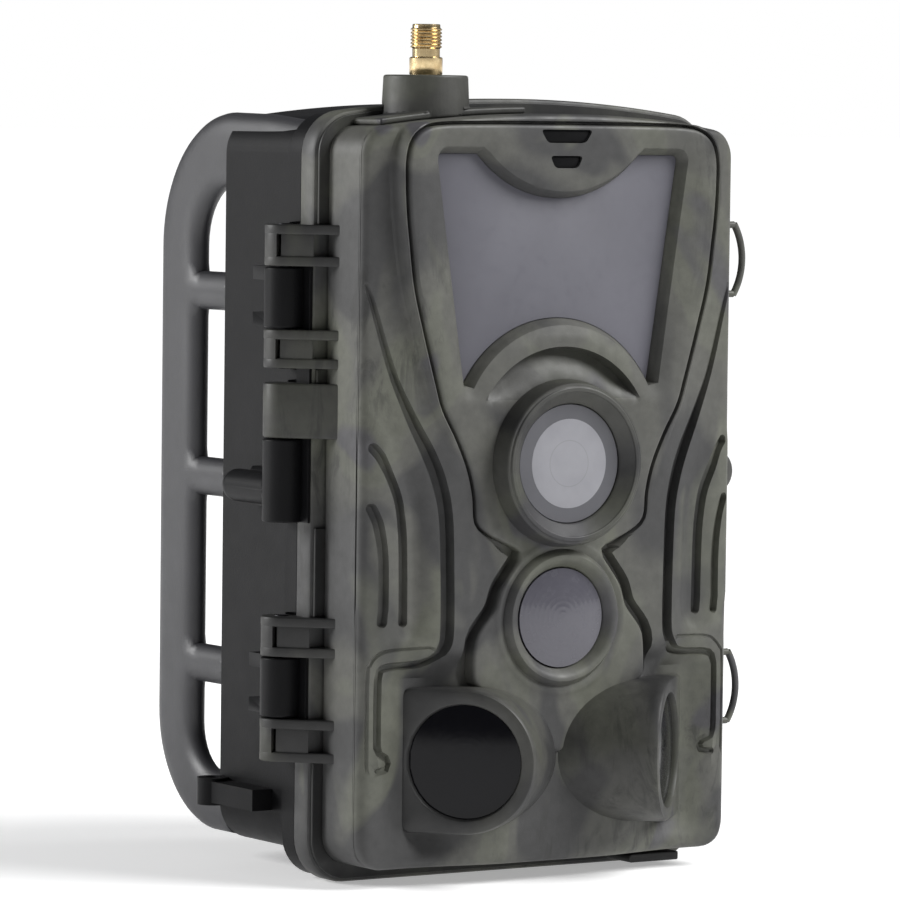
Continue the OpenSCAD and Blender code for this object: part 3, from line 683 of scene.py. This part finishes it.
def face_depth(flat):
    """Y of the front housing at points in X and Z."""
    q = np.abs(flat * [1, 0]) + flat * [0, 1]
    x, z = q[:, 0], q[:, 1]
    edge = nearest(flat, FACE, True)[0]
    out = HALF_W - FACE_INSET - x
    raised = SHOULDER + np.minimum(0.236 * out, 4.7)
    panel = SHOULDER + np.minimum(0.36 * out, 1.7)
    low = SHOULDER + np.minimum(0.5 * out, 1.0) + 3.2 * ramp(36 - x, 2, 26)
    foot, _ = nearest(q, STEP_LINE)
    in_panel = inside(q, np.vstack([STEP_LINE, [(50, 51.6), (50, 97.2)]]))
    raised = np.where(z < 52, low + (raised - low) * ramp(z, 45, 48), raised)
    scooped = np.where(x > 34.5, 34.2 - 0.33 * (41.5 - x), 31.9 + 5.1 * ramp(34.5 - x, 4, 18))
    soft = np.where(z > 25, 0.7, 0.7 + 0.3 * (25 - z))
    along = (1 - ramp(x, 41.9 - soft, 41.9)) * ramp(z, 5, 13) * (1 - ramp(z, 43.4, 44.6))
    raised += (scooped - raised) * along
    h = np.where(in_panel, panel + 0.35 * ramp(foot, 3.0, 5.2), panel + (raised - panel) * ramp(foot, 0, 2.3))
    plate, _ = nearest(flat, PLATE, True)
    on_plate = inside(flat, PLATE)
    upper = ramp(z, 66.0, 71.0)
    lifted = h + (np.maximum(PLATE_LIP, h) - h) * (1 - ramp(plate, 1.0, 2.3))
    h = h + (lifted - h) * upper
    gap = 2.0 - 1.55 * upper
    sunk = np.minimum(h, PANE_FOOT + upper)
    h = sunk + (h - sunk) * np.maximum(ramp(plate, gap - 0.05, gap + 0.35), 1 - ramp(z, 39.5, 41.5))
    wide = np.interp(nearest(q, GROOVE_LINE)[1], np.arange(len(GROOVE_LINE)), GROOVE_LINE[:, 2])
    deep = np.minimum(2.4, 1.2 * wide)
    h -= cut(q, GROOVE_LINE, GROOVE_LINE[:, 2], 1.0) * deep * ramp(edge, 0.2, 1.4)
    for line in SLOTS:
        h -= cut(q, line, 1.5, 1.5)
    h -= cut(q, FINE, 0.3, 0.45, 0.25)
    h = np.where(on_plate, -Y_UNDER_FASCIA, h)
    roll = np.clip(1 - edge / 1.5, 0, 1)
    return -(h - 1.5 * (1 - np.sqrt(np.maximum(1 - roll * roll, 0))))


def mirrored(lines):
    """The lines of the +X half together with those of the other half."""
    return list(lines) + [line[:, :2] * [-1, 1] for line in lines]


def relief_lines():
    """Lines that the triangles of the front follow, so that its edges stay crisp."""
    half = GROOVE_LINE[:, 2] / 2
    lines = [capsule(GROOVE_LINE, half + d) for d in (-0.07, 0.15, 0.36)]
    for slot in SLOTS:
        lines += [capsule(slot, d) for d in (0.66, 0.88, 1.12)] + [slot]
    lines += [beside(FINE, d) for d in (-0.42, -0.1, 0.1, 0.42)]
    lines += [STEP_LINE, beside(STEP_LINE, 1.1), beside(STEP_LINE, 2.3)]
    lines += [beside(STEP_LINE, -1.1), beside(STEP_LINE, -2.3)]
    lines = mirrored(lines)
    lines += [closed(inset_for(PLATE, -d)) for d in (0.05, 0.43, 0.47, 0.75, 1.0, 1.6, 1.98, 2.04, 2.4)]
    lines += [closed(beside(FACE, d, True)) for d in (0.15, 0.45, 0.9, 1.5, 2.4)]
    keep = []
    for line in lines:
        ok = inside(line, beside(FACE, 0.1, True))
        start = 0
        for i in range(len(line) + 1):
            if i == len(line) or not ok[i]:
                if i - start > 1:
                    keep.append(line[start:i])
                start = i + 1
    return keep


def rounded_corner(a, b, c, count=7):
    """Curve from a to c that rounds off the corner b."""
    t = np.linspace(0, 1, count)[1:, None]
    return (1 - t) ** 2 * np.array(a) + 2 * t * (1 - t) * np.array(b) + t * t * np.array(c)


def window_shape():
    """Outline of the infrared window: two arcs, joined by straight sides."""
    top, bottom = 148.3, 101.7
    upper_z, upper_r = 165.9, 26.5
    lower_z, lower_r = 89.1, 25.9
    upper_x = math.sqrt(upper_r ** 2 - (upper_z - top) ** 2)
    lower_x = math.sqrt(lower_r ** 2 - (bottom - lower_z) ** 2)
    upper_end = math.degrees(math.atan2(top - upper_z, upper_x))
    lower_end = math.degrees(math.atan2(bottom - lower_z, lower_x))
    lower_arc = arc(0, lower_z, lower_r, 90, lower_end, 24)
    upper_arc = arc(0, upper_z, upper_r, upper_end, -90, 24)
    foot, head = np.array((22.6, bottom)), np.array((29.6, top))
    wall = np.array([foot * (1 - t) + head * t for t in np.linspace(0, 1, 30)])[:-1]
    corner = rounded_corner(wall[-1], head, (head[0] - 1.6, top))
    return both_halves(np.vstack([lower_arc, wall, corner, upper_arc]))


WINDOW = window_shape()


def lug_plan():
    """Plan of a hinge plate on the front housing, in X and Y."""
    round_part = arc(HINGE_X, HINGE_Y, 4.19, 60, 232, 24)
    return np.vstack([round_part, [(-44.4, -25), (-44.4, -14.8), (-48.5, -12.6)]])[::-1]


# Plan of the web inside a hinge fork, in X and Y
FORK_WEB = np.array([(-53.6, -14.6), (-49.0, -19.6), (-48.4, -18.6), (-52.9, -13.7)])


def fork_back_plan():
    """Plan of the curved back of a hinge fork, in X and Y."""
    outer = arc(HINGE_X, HINGE_Y, 4.15, 92, 213, 20)
    inner = arc(HINGE_X, HINGE_Y, 2.7, 213, 92, 20)
    return np.vstack([outer, inner])


def tab_outline():
    """Padlock tab outline in X and Z."""
    root_x, half = 46.6, 4.7
    round_end = arc(TAB_X, TAB_Z, TAB_R, -90, 90, 28)
    return np.vstack([[(root_x, TAB_Z - half)], round_end, [(root_x, TAB_Z + half)]])


def drilled_tab(shape, y_front, y_back):
    """Padlock tab with its shackle hole, as a frame between two loops with the same points."""
    outer = tab_outline()
    centre = np.array([TAB_X, TAB_Z])
    away = outer - centre
    hole = centre + away / np.linalg.norm(away, axis=1, keepdims=True) * TAB_HOLE_R
    loops = []
    for edge, y in ((0.5, y_front), (0.15, y_front + 0.15), (0.0, y_front + 0.5),
                    (0.0, y_back - 0.5), (0.15, y_back - 0.15), (0.5, y_back)):
        loops.append(on_front(beside(outer, edge, True), y))
    for edge, y in ((0.3, y_back), (0.0, y_back - 0.3), (0.0, y_front + 0.3), (0.3, y_front)):
        loops.append(on_front(centre + (hole - centre) * (1 + edge / TAB_HOLE_R), y))
    shape.hoop(loops)


def housing_walls(shape):
    """Side wall, neck and sealing flange behind the sculpted front, as one closed ring."""
    steps = [
        (FACE_INSET, -31.5), (FACE_INSET, Y_BAND - 0.3), (3.3, Y_BAND), (NECK_INSET, Y_BAND),
        (NECK_INSET, Y_FLANGE_FRONT), (0.7, Y_FLANGE_FRONT), (0.25, Y_FLANGE_FRONT + 0.2),
        (0.0, Y_FLANGE_FRONT + 0.7), (0.0, Y_FLANGE_BACK - 0.6), (0.2, Y_FLANGE_BACK - 0.15),
        (0.6, Y_FLANGE_BACK), (3.0, Y_FLANGE_BACK), (3.0, -14.8), (4.4, -14.8),
        (4.4, Y_FLANGE_BACK), (INNER_INSET, Y_FLANGE_BACK), (INNER_INSET, -31.5)]
    shape.hoop([on_front(case_outline(i), y) for i, y in steps])


def hood_loop(r, square):
    """Mouth outline of a side hood: round towards the middle, square on the outer side."""
    inner = arc(0, 0, r, 90, 270, 48)
    c = 1.6
    corner_low = arc(square - c, -r + c, c, -90, 0, 6)
    corner_high = arc(square - c, r - c, c, 0, 90, 6)
    edge_low = np.stack([np.linspace(0, square - c, 8)[1:-1], np.full(6, -r)], 1)
    edge_high = np.stack([np.linspace(square - c, 0, 8)[1:-1], np.full(6, r)], 1)
    side = np.stack([np.full(6, square), np.linspace(-r + c, r - c, 8)[1:-1]], 1)
    return np.vstack([inner, edge_low, corner_low, side, corner_high, edge_high])


def side_hood(shape, side):
    """Hood of one side sensor: a block with a round inner side and a stepped bore."""
    place = side_place(side)

    def at(loop, w):
        return np.array([place @ Vector((a * side, b, w)) for a, b in loop])

    outer = [(15.0, 13.2, -21.5), (14.9, 13.2, -9), (14.75, 13.0, -2), (14.6, 12.9, -0.5),
             (14.35, 12.7, -0.12), (14.0, 12.4, 0.0)]
    loops = [at(hood_loop(r, s), w) for r, s, w in outer]
    way = hood_loop(14.0, 12.4)
    way = way / np.linalg.norm(way, axis=1, keepdims=True)
    bore = [(12.3, 0.0), (11.95, -0.1), (11.75, -0.4), (11.6, -1.0), (11.6, -3.0), (10.2, -3.0),
            (10.2, -13), (5, -13), (5, -17)]
    loops += [at(way * r, w) for r, w in bore]
    # The hood takes the camouflage copy with painted half shade
    shape.hoop(loops, PAINTED_HALF_SHADE_TINT)


def make_housing():
    """Front half of the case, with its hoods, hinge parts and padlock tab."""
    shape = Shape()
    window = inset_for(WINDOW, 1.6)
    holes = [window, ring(0, LENS_Z, 10, 72), ring(0, PIR_Z, 8.5, 64)]
    relief(shape, FACE, holes, relief_lines(), face_depth, Y_INNER, 2.2)
    housing_walls(shape)
    for side in (-1, 1):
        side_hood(shape, side)
    # The hinge plates, fork backs, webs and the middle block take the camouflage copy with painted shade
    for z0, z1, z2, z3 in HINGES:
        for low in (z0, z1 - LUG_WIDTH, z2, z3 - LUG_WIDTH):
            bar(shape, lug_plan(), low, low + LUG_WIDTH, 0.35, PAINTED_SHADE_TINT)
        for low, high in ((z0, z1), (z2, z3)):
            bar(shape, fork_back_plan(), low + 0.6, high - 0.6, 0.2, PAINTED_SHADE_TINT)
            bar(shape, FORK_WEB, low + 0.6, high - 0.6, 0.1, PAINTED_SHADE_TINT)
    bar(shape, lug_plan(), *BLOCK_Z, 0.5, PAINTED_SHADE_TINT)
    drilled_tab(shape, Y_FLANGE_BACK - 3.5, Y_FLANGE_BACK)
    return make_piece("front_housing_relief", shape, "front_case",
                      [CAMO, PAINTED_SHADE_CAMO, PAINTED_HALF_SHADE_CAMO], ["front_housing"])


# --- raised middle plate ---

def rim_outline():
    """Outer edge of the bevelled recess round the infrared window."""
    half = [
        (0, 111.2), (3, 111.0), (6, 110.2), (12, 106.9), (17.5, 102), (20.3, 98.8), (22.6, 98.2),
        (24.6, 99.2), (26.3, 102), (30, 113.9), (32.4, 124), (33.7, 134), (34, 142), (33.8, 148),
        (32.6, 150.6), (30, 151.6), (23, 152), (19.6, 151.9), (17, 150.6), (12.6, 146.6), (8.1, 144),
        (3.5, 142.8), (0, 142.6)]
    return both_halves(smooth_line(half, 1.2))


WINDOW_RIM = rim_outline()
# Crescent-shaped scoop above the lens
BROW_R = 22.2
BROW_Z = 87.1
BROW_FOOT = 98.6
BROW_DEPTH = 3.0
PIR_RIDGE_R = 15.2


def brow_arc(r):
    return arc(0, BROW_Z, r, 33, 147, 44)


def plate_depth(flat):
    """Y of the raised middle plate."""
    edge, _ = nearest(flat, PLATE, True)
    h = np.full(len(flat), -Y_FASCIA)
    pane, _ = nearest(flat, WINDOW, True)
    rim, _ = nearest(flat, WINDOW_RIM, True)
    in_rim = inside(flat, WINDOW_RIM)
    t = pane / np.maximum(pane + rim, 1e-6)
    rise = 0.68 * ramp(pane, -0.3, 1.5) + 0.32 * t
    h = np.where(in_rim, PANE_FOOT + (-Y_FASCIA - PANE_FOOT) * rise, h)
    r_brow = np.hypot(flat[:, 0], flat[:, 1] - BROW_Z)
    r_lens = np.hypot(flat[:, 0], flat[:, 1] - LENS_Z)
    scoop = (r_brow < BROW_R) & (flat[:, 1] > 97)
    fade = ramp(r_lens, 17.0, 23.6) ** 0.8 * ramp(flat[:, 1], 97.6, 103.0)
    h = np.where(scoop, h - BROW_DEPTH * fade * ramp(BROW_R - r_brow, 0.0, 0.5), h)
    pir = np.hypot(flat[:, 0], flat[:, 1] - PIR_Z)
    h += 0.35 * (1 - ramp(np.abs(pir - PIR_RIDGE_R), 0.0, 1.4)) * (pir > 13)
    roll = np.clip(1 - edge / 0.8, 0, 1)
    return -(h - 0.8 * (1 - np.sqrt(np.maximum(1 - roll * roll, 0))))


def trapezoid(top, bottom, half_top, half_bottom, r=1.0):
    """Small window with rounded corners, as a closed line."""
    p = np.array([(-half_top, top), (-half_bottom, bottom), (half_bottom, bottom), (half_top, top)], float)
    out = []
    for i in range(4):
        a, b, c = p[i - 1], p[i], p[(i + 1) % 4]
        u, v = (a - b) / np.linalg.norm(a - b), (c - b) / np.linalg.norm(c - b)
        for t in np.linspace(0, 1, 6):
            s = b + u * r, b + v * r
            out.append((1 - t) ** 2 * s[0] + 2 * t * (1 - t) * b + t * t * s[1])
    return np.array(out)


INDICATORS = [trapezoid(153.3, 150.6, 6.4, 4.7), trapezoid(148.0, 145.5, 4.05, 2.85)]


def make_plate():
    """Raised middle plate, with the turned ring round the main sensor."""
    shape = Shape()
    lines = [closed(inset_for(PLATE, d)) for d in (0.08, 0.22, 0.42, 0.8)]
    lines.append(closed(WINDOW_RIM))
    for d in (0.3, 0.65, 1.0, 1.4):
        loop = closed(inset_for(WINDOW, -d))
        lines.append(loop[inside(loop, WINDOW_RIM)])
    lines += [brow_arc(BROW_R - d) for d in (0, 0.25, 0.5, 2.2)]
    lines += [arc(0, LENS_Z, r, 30, 150, 44) for r in (17.9, 19.2, 20.6)]
    lines.append(np.stack([np.linspace(-19, 19, 60), np.full(60, BROW_FOOT)], 1))
    lines += [ring(0, PIR_Z, r, 90) for r in (13.9, 14.5, 15.2, 15.9, 16.5)]
    lines = [line[inside(line, inset_for(PLATE, 0.05))] for line in lines]
    holes = [WINDOW, ring(0, LENS_Z, 12.1, 80), ring(0, PIR_Z, 12.5, 80)] + INDICATORS
    relief(shape, PLATE, holes, lines, plate_depth, Y_FASCIA_BACK, 1.8)
    profile = [
        (10.2, 1.0), (10.25, 3.9), (10.6, 4.5), (11.6, 5.6), (12.3, 6.0), (12.9, 6.0), (13.4, 5.6),
        (14.0, 4.6), (14.15, 4.1), (13.0, 3.6), (12.4, 1.0)]
    turned(shape, profile, facing_front(0, PIR_Z, Y_UNDER_FASCIA + 0.15))
    plate = make_piece("fascia_relief", shape, "front_case", [CAMO, PAINTED_HALF_SHADE_CAMO],
                       ["fascia_plate"])
    # Painted shade: the faces of the brow scoop take the darker camouflage copy
    for face in plate.data.polygons:
        x, _, z = face.center / MM
        if z > BROW_FOOT and math.hypot(x, z - BROW_Z) < BROW_R:
            face.material_index = 1
    return plate


# --- windows and lens ---

def make_pane():
    shape = Shape()
    slab(shape, inset_for(WINDOW, 0.03), -34.5, Y_FASCIA_BACK, 0.1)
    return make_piece("infrared_pane", shape, "front_case", [PANE], ["ir_window"])


def make_indicators():
    shape = Shape()
    for loop in INDICATORS:
        slab(shape, inset_for(loop, 0.04), -37.2, -36.45, 0.12)
    return make_piece("indicator_panes", shape, "front_case", [BLACK_PANE],
                      ["indicator_windows"])


def make_bezel():
    """Raised ring round the lens, with a sharp outer wall and a conical inner one."""
    shape = Shape()
    profile = [
        (12.25, 2.35), (12.2, 0.0), (17.15, 0.0), (17.1, 1.2), (16.5, 3.9), (16.42, 4.25),
        (16.2, 4.5), (15.85, 4.55), (15.75, 4.62), (15.68, 4.8), (15.5, 4.9), (14.95, 4.9),
        (14.8, 4.82), (14.7, 4.6), (12.55, 2.75), (12.4, 2.6)]
    turned(shape, profile, facing_front(0, LENS_Z, Y_FASCIA - 0.05), count=128)
    # The bezel is coloured with the camouflage copy that carries painted half shade
    return make_piece("lens_bezel_turned", shape, "front_case", [PAINTED_HALF_SHADE_CAMO],
                      ["lens_bezel"], 20)


def make_lens_disc():
    """Front glass: a grey printed rim, a frosted disc and a slightly darker middle."""
    shape = Shape()
    place = facing_front(0, LENS_Z, -38.8)
    solid_turned(shape, [(12.05, 0.0), (12.1, 0.1), (12.1, 1.0), (12.0, 1.1), (9.3, 1.12)], place, 0)
    solid_turned(shape, [(9.1, 0.9), (9.1, 1.14), (8.95, 1.18), (4.95, 1.18)], place, 1)
    solid_turned(shape, [(4.85, 0.9), (4.85, 1.17), (4.7, 1.2), (4.5, 1.16)], place, 2)
    return make_piece("lens_disc", shape, "front_case", [RIM_GLASS, FROST, FROST_INNER],
                      ["lens_window"])


def faceted_dome(shape, place, radius, groove):
    """Sensor window: a shallow dome, with fine circular steps where the groove isn't zero."""
    rise, thick = 0.8, 0.6
    ball = (radius ** 2 + rise ** 2) / (2 * rise)
    profile = [(radius, 0.0), (radius, thick)]
    steps = 9
    for i in range(steps):
        r1 = radius * (1 - (i + 0.86) / steps)
        r0 = radius * (1 - i / steps)
        for r, dip in ((r0, 0.0), (r1, groove), (max(r1 - 0.05, 0.05), 0.0)):
            profile.append((r, thick + rise - ball + math.sqrt(ball ** 2 - r * r) - dip))
    solid_turned(shape, profile, place, count=72)


def make_domes():
    """The three motion sensor windows."""
    shape = Shape()
    faceted_dome(shape, facing_front(0, PIR_Z, -37.15), 10.12, 0.005)
    make_piece("pir_dome", shape, "front_case", [DOME], ["pir_window"], 60)
    for side, name in ((-1, "side_window_left"), (1, "side_window_right")):
        shape = Shape()
        sunk = Matrix.Translation((0, 0, -1.9))
        faceted_dome(shape, side_place(side) @ sunk, 11.5, 0.0)
        make_piece(name + "_dome", shape, "front_case", [DARK_DOME], [name], 60)


# --- antenna socket ---

def make_socket():
    """Coaxial socket: a plain shank, a flange, a neck and a cut thread."""
    shape = Shape()
    x, y = ANTENNA
    profile = [
        (0.02, 158.2), (3.15, 158.2), (3.15, 164.1), (3.3, 164.1), (3.37, 164.25), (3.37, 167.4),
        (3.2, 167.6), (2.8, 167.7), (2.8, 169.3)]
    pitch, first, turns = 0.7, 169.4, 6
    for i in range(turns):
        z = first + i * pitch
        profile += [(2.88, z), (3.175, z + 0.2), (3.175, z + 0.42), (2.88, z + 0.62)]
    profile += [(2.83, 173.7), (2.83, 174.15), (2.7, 174.3), (2.42, 174.3), (2.3, 174.15), (2.3, 170.5),
                (0.02, 170.5)]
    turned(shape, profile, upright(x, y), count=64)
    solid_turned(shape, [(0.6, 170.4), (0.6, 172.8), (0.4, 173.0)], upright(x, y), count=24)
    return make_piece("sma_thread", shape, "front_case", [BRASS], ["sma_connector"])


# --- dark plates beside the flange at the hinges ---

def make_hinge_plates():
    shape = Shape()
    for z0, z1 in HINGE_PLATE_SPANS:
        bar(shape, rectangle(-48.95, -48.4, -18.4, -13.5), z0, z1, 0.15)
    return make_piece("hinge_side_plates", shape, "front_case", [BLACK])


# --- bow rails ---

RAIL_HALF = 2.75
RAIL_X = 43.25
RAIL_BASE = 18.05
BRIDGES = [(122.8, 114.8), (83.9, 75.9), (44.6, 36.6)]


def rail_outline():
    """Side view of a rail as Y and Z: a bow with three bridges that reach the shell."""
    comb = [(RAIL_BASE, 140.9)]
    inner = [arc(20.2, 128, 12.8, 90, 0, 12)]
    for top, bottom in BRIDGES:
        inner.append([(33, top), (RAIL_BASE, top), (RAIL_BASE, bottom), (33, bottom)])
    inner.append(arc(23.5, 28, 9.5, 0, -90, 10))
    outer = [[(RAIL_BASE, 18.5), (RAIL_BASE, 6), (24, 6)], arc(24, 30, 24.1, -90, 0, 20)[1:],
             arc(20.2, 128, 28, 0, 90, 24), [(5, 155.7), (-12.5, 154.2), (-12.5, 141.3)]]
    points = np.vstack([comb] + inner + outer)
    out = []
    for a, b in zip(points, np.roll(points, -1, 0)):
        steps = max(1, int(np.linalg.norm(b - a) / 1.6))
        out += [a + (b - a) * k / steps for k in range(steps)]
    return np.array(out)


def on_rail_base(a, b):
    """True for a stretch of the outline that stands on the shell."""
    return a[0] < RAIL_BASE + 0.15 and b[0] < RAIL_BASE + 0.15 and abs(a[0] - b[0]) < 0.01


def make_rail(side):
    """One bow rail, rounded along every edge that doesn't stand on the shell."""
    shape, outline = Shape(), rail_outline()
    free = [s for s in zip(outline, np.roll(outline, -1, 0)) if not on_rail_base(*s)]
    round_width, thinnest = 4.6, 0.12

    def half_thickness(flat):
        d = np.full(len(flat), 9.0)
        for a, b in free:
            d = np.minimum(d, nearest(flat, np.array([a, b]))[0])
        t = 1 - np.minimum(d, round_width) / round_width
        return np.maximum(RAIL_HALF * np.sqrt(np.maximum(1 - t * t, 0)), thinnest)

    lines = [inset_for(outline, d) for d in (0.25, 0.8, 1.6, 2.8)]
    lines = [line[inside(line, inset_for(outline, 0.1))] for line in lines]
    flat_shape = Shape()
    relief(flat_shape, outline, [], lines, half_thickness, 0.0, 1.8, mirror_back=True)
    points = [(side * RAIL_X + h, y, z) for y, h, z in flat_shape.points]
    shape.add(points, flat_shape.faces)
    name = "left" if side < 0 else "right"
    return make_piece("bow_rail_" + name + "_round", shape, "rear_case", [RAIL_PAINTED_LIGHT_BLACK],
                      ["bow_rail_" + name], 50)


# --- latches ---

def tube(shape, path, r):
    """Round bar along a path of 3D points."""
    path, count = np.array(path, float), 14
    along = np.gradient(path, axis=0)
    along /= np.linalg.norm(along, axis=1, keepdims=True)
    loops = []
    for p, t in zip(path, along):
        u = np.cross(t, (0, 1, 0))
        u /= np.linalg.norm(u)
        v = np.cross(t, u)
        a = np.radians(np.arange(count) * 360 / count)
        loops.append(p + r * (np.outer(np.cos(a), u) + np.outer(np.sin(a), v)))
    shape.loft(loops)


def make_latch(name, z):
    """Lever on its pin tube, with a hooked nose and a slim finger loop."""
    shape = Shape()
    pin_tube = [(1.16, -8.2), (2.3, -8.2), (2.6, -7.9), (2.6, 7.9), (2.3, 8.2), (1.16, 8.2)]
    turned(shape, pin_tube, upright(LATCH_X, LATCH_Y, z), count=40)
    strap = rectangle(50.25, 52.15, -20.4, -5.2)
    bar(shape, strap, z - 6.9, z + 6.9, 0.45)
    nose = rectangle(48.8, 52.1, -21.5, -20.0)
    bar(shape, nose, z - 4.9, z + 4.9, 0.4)
    bow = arc(43.1, z, 13.65, -33, 33, 30)
    tube(shape, [(a, LOOP_Y, b) for a, b in bow], 0.75)
    for k in (-1, 1):
        tube(shape, [(50.6, LOOP_Y, z + k * 7.2), (54.5, LOOP_Y, z + k * 7.3)], 0.72)
    return make_piece(name + "_lever", shape, name, [CAMO], [name])


# --- carried-over nodes ---

# Width of the rounding of each carried-over node, by material slot
SOFTENED = {
    "camo_plastic": [("antenna_boss", 0.5)],
    "black_plastic": [
        ("rear_shell", 0.38), ("battery_tray", 0.35), ("battery_cover", 0.3), ("cable_sleeve", 0.4),
        ("lock_hook", 0.5), ("front_frame", 0.2), ("lens_barrel", 0.2), ("lens_holder", 0.25),
        ("inner_cover", 0.4), ("dc_jack", 0.3)],
    "steel": [
        ("bracket_screws", 0.2), ("tray_screws", 0.3), ("battery_contacts", 0.08),
        ("battery_springs", 0.15), ("hinge_pins", 0.2), ("latch_pins", 0.2), ("pir_cells", 0.3),
        ("inner_cover_screws", 0.12), ("card_slot", 0.12), ("sim_slot", 0.12), ("usb_port", 0.12)],
    "brass": [("tripod_insert", 0.3)],
    "cell_jacket": [("battery_cells", 0.4)],
    "rubber": [("hinge_cable", 0.2), ("port_flap", 0.3), ("door_gasket", 0.2), ("coax_lead", 0.1)],
    "dark_window": [("lcd_screen", 0.3)],
    "clear_glass": [("lens_elements", 0.15), ("ir_cut_filter", 0.12)],
    "circuit_board": [
        ("sensor_board", 0.15), ("pir_board", 0.15), ("led_board", 0.15), ("main_board", 0.15)],
    "grey_plastic": [
        ("image_sensor", 0.1), ("button_up", 0.4), ("button_down", 0.4), ("button_left", 0.4),
        ("button_right", 0.4), ("button_ok", 0.4), ("mode_switch", 0.3), ("speaker", 0.2),
        ("ir_leds", 0.1)],
}
MATERIAL_OF = {"camo_plastic": CAMO, "black_plastic": BLACK, "steel": STEEL, "brass": BRASS,
               "cell_jacket": CELL, "rubber": RUBBER, "dark_window": BLACK_PANE, "clear_glass": GLASS,
               "circuit_board": BOARD, "grey_plastic": GREY}

# The antenna boss and the front frame take camouflage copies with painted shade; the hinge pins take
# blackened steel
OWN_MATERIAL = {"hinge_pins": DARK_STEEL, "antenna_boss": PAINTED_HALF_SHADE_CAMO, "front_frame": PAINTED_SHADE_CAMO}


def body_of(node):
    bodies = frame["record"]["behaviour"]["bodies"]
    return next(b for b, members in bodies.items() if node in members)


def soften_nodes():
    for slot, rows in SOFTENED.items():
        for node, width in rows:
            material = OWN_MATERIAL.get(node, MATERIAL_OF[slot])
            softened(node, body_of(node), material, width)


# --- studio ---

def make_floor():
    mesh = bpy.data.meshes.new("floor")
    r = 60.0
    mesh.from_pydata([(-r, -r, 0), (r, -r, 0), (r, r, 0), (-r, r, 0)], [], [(0, 1, 2, 3)])
    mesh.materials.append(floor_material())
    floor = linked("floor", mesh)


def area_light(name, at, aim, size, power):
    """Round lamp aimed at a point."""
    light = bpy.data.lights.new(name, "AREA")
    light.shape, light.size, light.energy = "DISK", size, power
    lamp = linked(name, light)
    lamp.location = at
    lamp.rotation_euler = (Vector(aim) - Vector(at)).to_track_quat("-Z", "Y").to_euler()


def sun_light(toward, spread, strength):
    """Wide soft light from far away, so that the floor is evenly bright."""
    light = bpy.data.lights.new("key", "SUN")
    light.angle, light.energy = math.radians(spread), strength
    lamp = linked("key", light)
    lamp.rotation_euler = Vector(toward).to_track_quat("Z", "Y").to_euler()


def make_world(strength):
    """Soft surrounding light, with a white backdrop where the camera sees it directly."""
    world = bpy.data.worlds.new("studio")
    world.use_nodes = True
    tree = world.node_tree
    ambient = tree.nodes["Background"]
    ambient.inputs["Color"].default_value = (0.95, 0.97, 1.0, 1)
    ambient.inputs["Strength"].default_value = strength
    backdrop = tree.nodes.new("ShaderNodeBackground")
    backdrop.inputs["Color"].default_value = (1, 1, 1, 1)
    path = tree.nodes.new("ShaderNodeLightPath")
    blend = tree.nodes.new("ShaderNodeMixShader")
    tree.links.new(path.outputs["Is Camera Ray"], blend.inputs[0])
    tree.links.new(ambient.outputs[0], blend.inputs[1])
    tree.links.new(backdrop.outputs[0], blend.inputs[2])
    tree.links.new(blend.outputs[0], tree.nodes["World Output"].inputs[0])
    bpy.context.scene.world = world


def make_camera():
    """Camera of the photograph: a long lens at the hinge side, almost level."""
    yaw, pitch, roll = (math.radians(a) for a in (33.21, 3.38, 0.72))
    ahead = Vector((math.sin(yaw) * math.cos(pitch), math.cos(yaw) * math.cos(pitch), -math.sin(pitch)))
    right = Vector((math.cos(yaw), -math.sin(yaw), 0))
    up = right.cross(ahead)
    right_rolled = math.cos(roll) * right + math.sin(roll) * up
    up_rolled = math.cos(roll) * up - math.sin(roll) * right
    data = bpy.data.cameras.new("camera")
    data.sensor_width, data.lens, data.clip_end = 36.0, 222.24, 200.0
    camera = linked("camera", data)
    turn = Matrix((right_rolled, up_rolled, -ahead)).transposed().to_4x4()
    camera.matrix_world = Matrix.Translation((-0.6374, -0.9694, 0.1546)) @ turn
    bpy.context.scene.camera = camera


make_housing()
make_plate()
make_pane()
make_indicators()
make_bezel()
make_lens_disc()
make_domes()
make_socket()
make_rail(-1)
make_rail(1)
for latch, height in LATCH_HEIGHTS.items():
    make_latch(latch, height)
make_hinge_plates()
soften_nodes()
make_floor()
make_world(strength=0.12)
sun_light(toward=(0.62, -0.54, 0.7), spread=34, strength=3.9)
area_light("rim", at=(-0.95, 0.7, 0.5), aim=(0, 0, 0.08), size=0.5, power=13)
bpy.context.scene.view_settings.view_transform = "Standard"
make_camera()
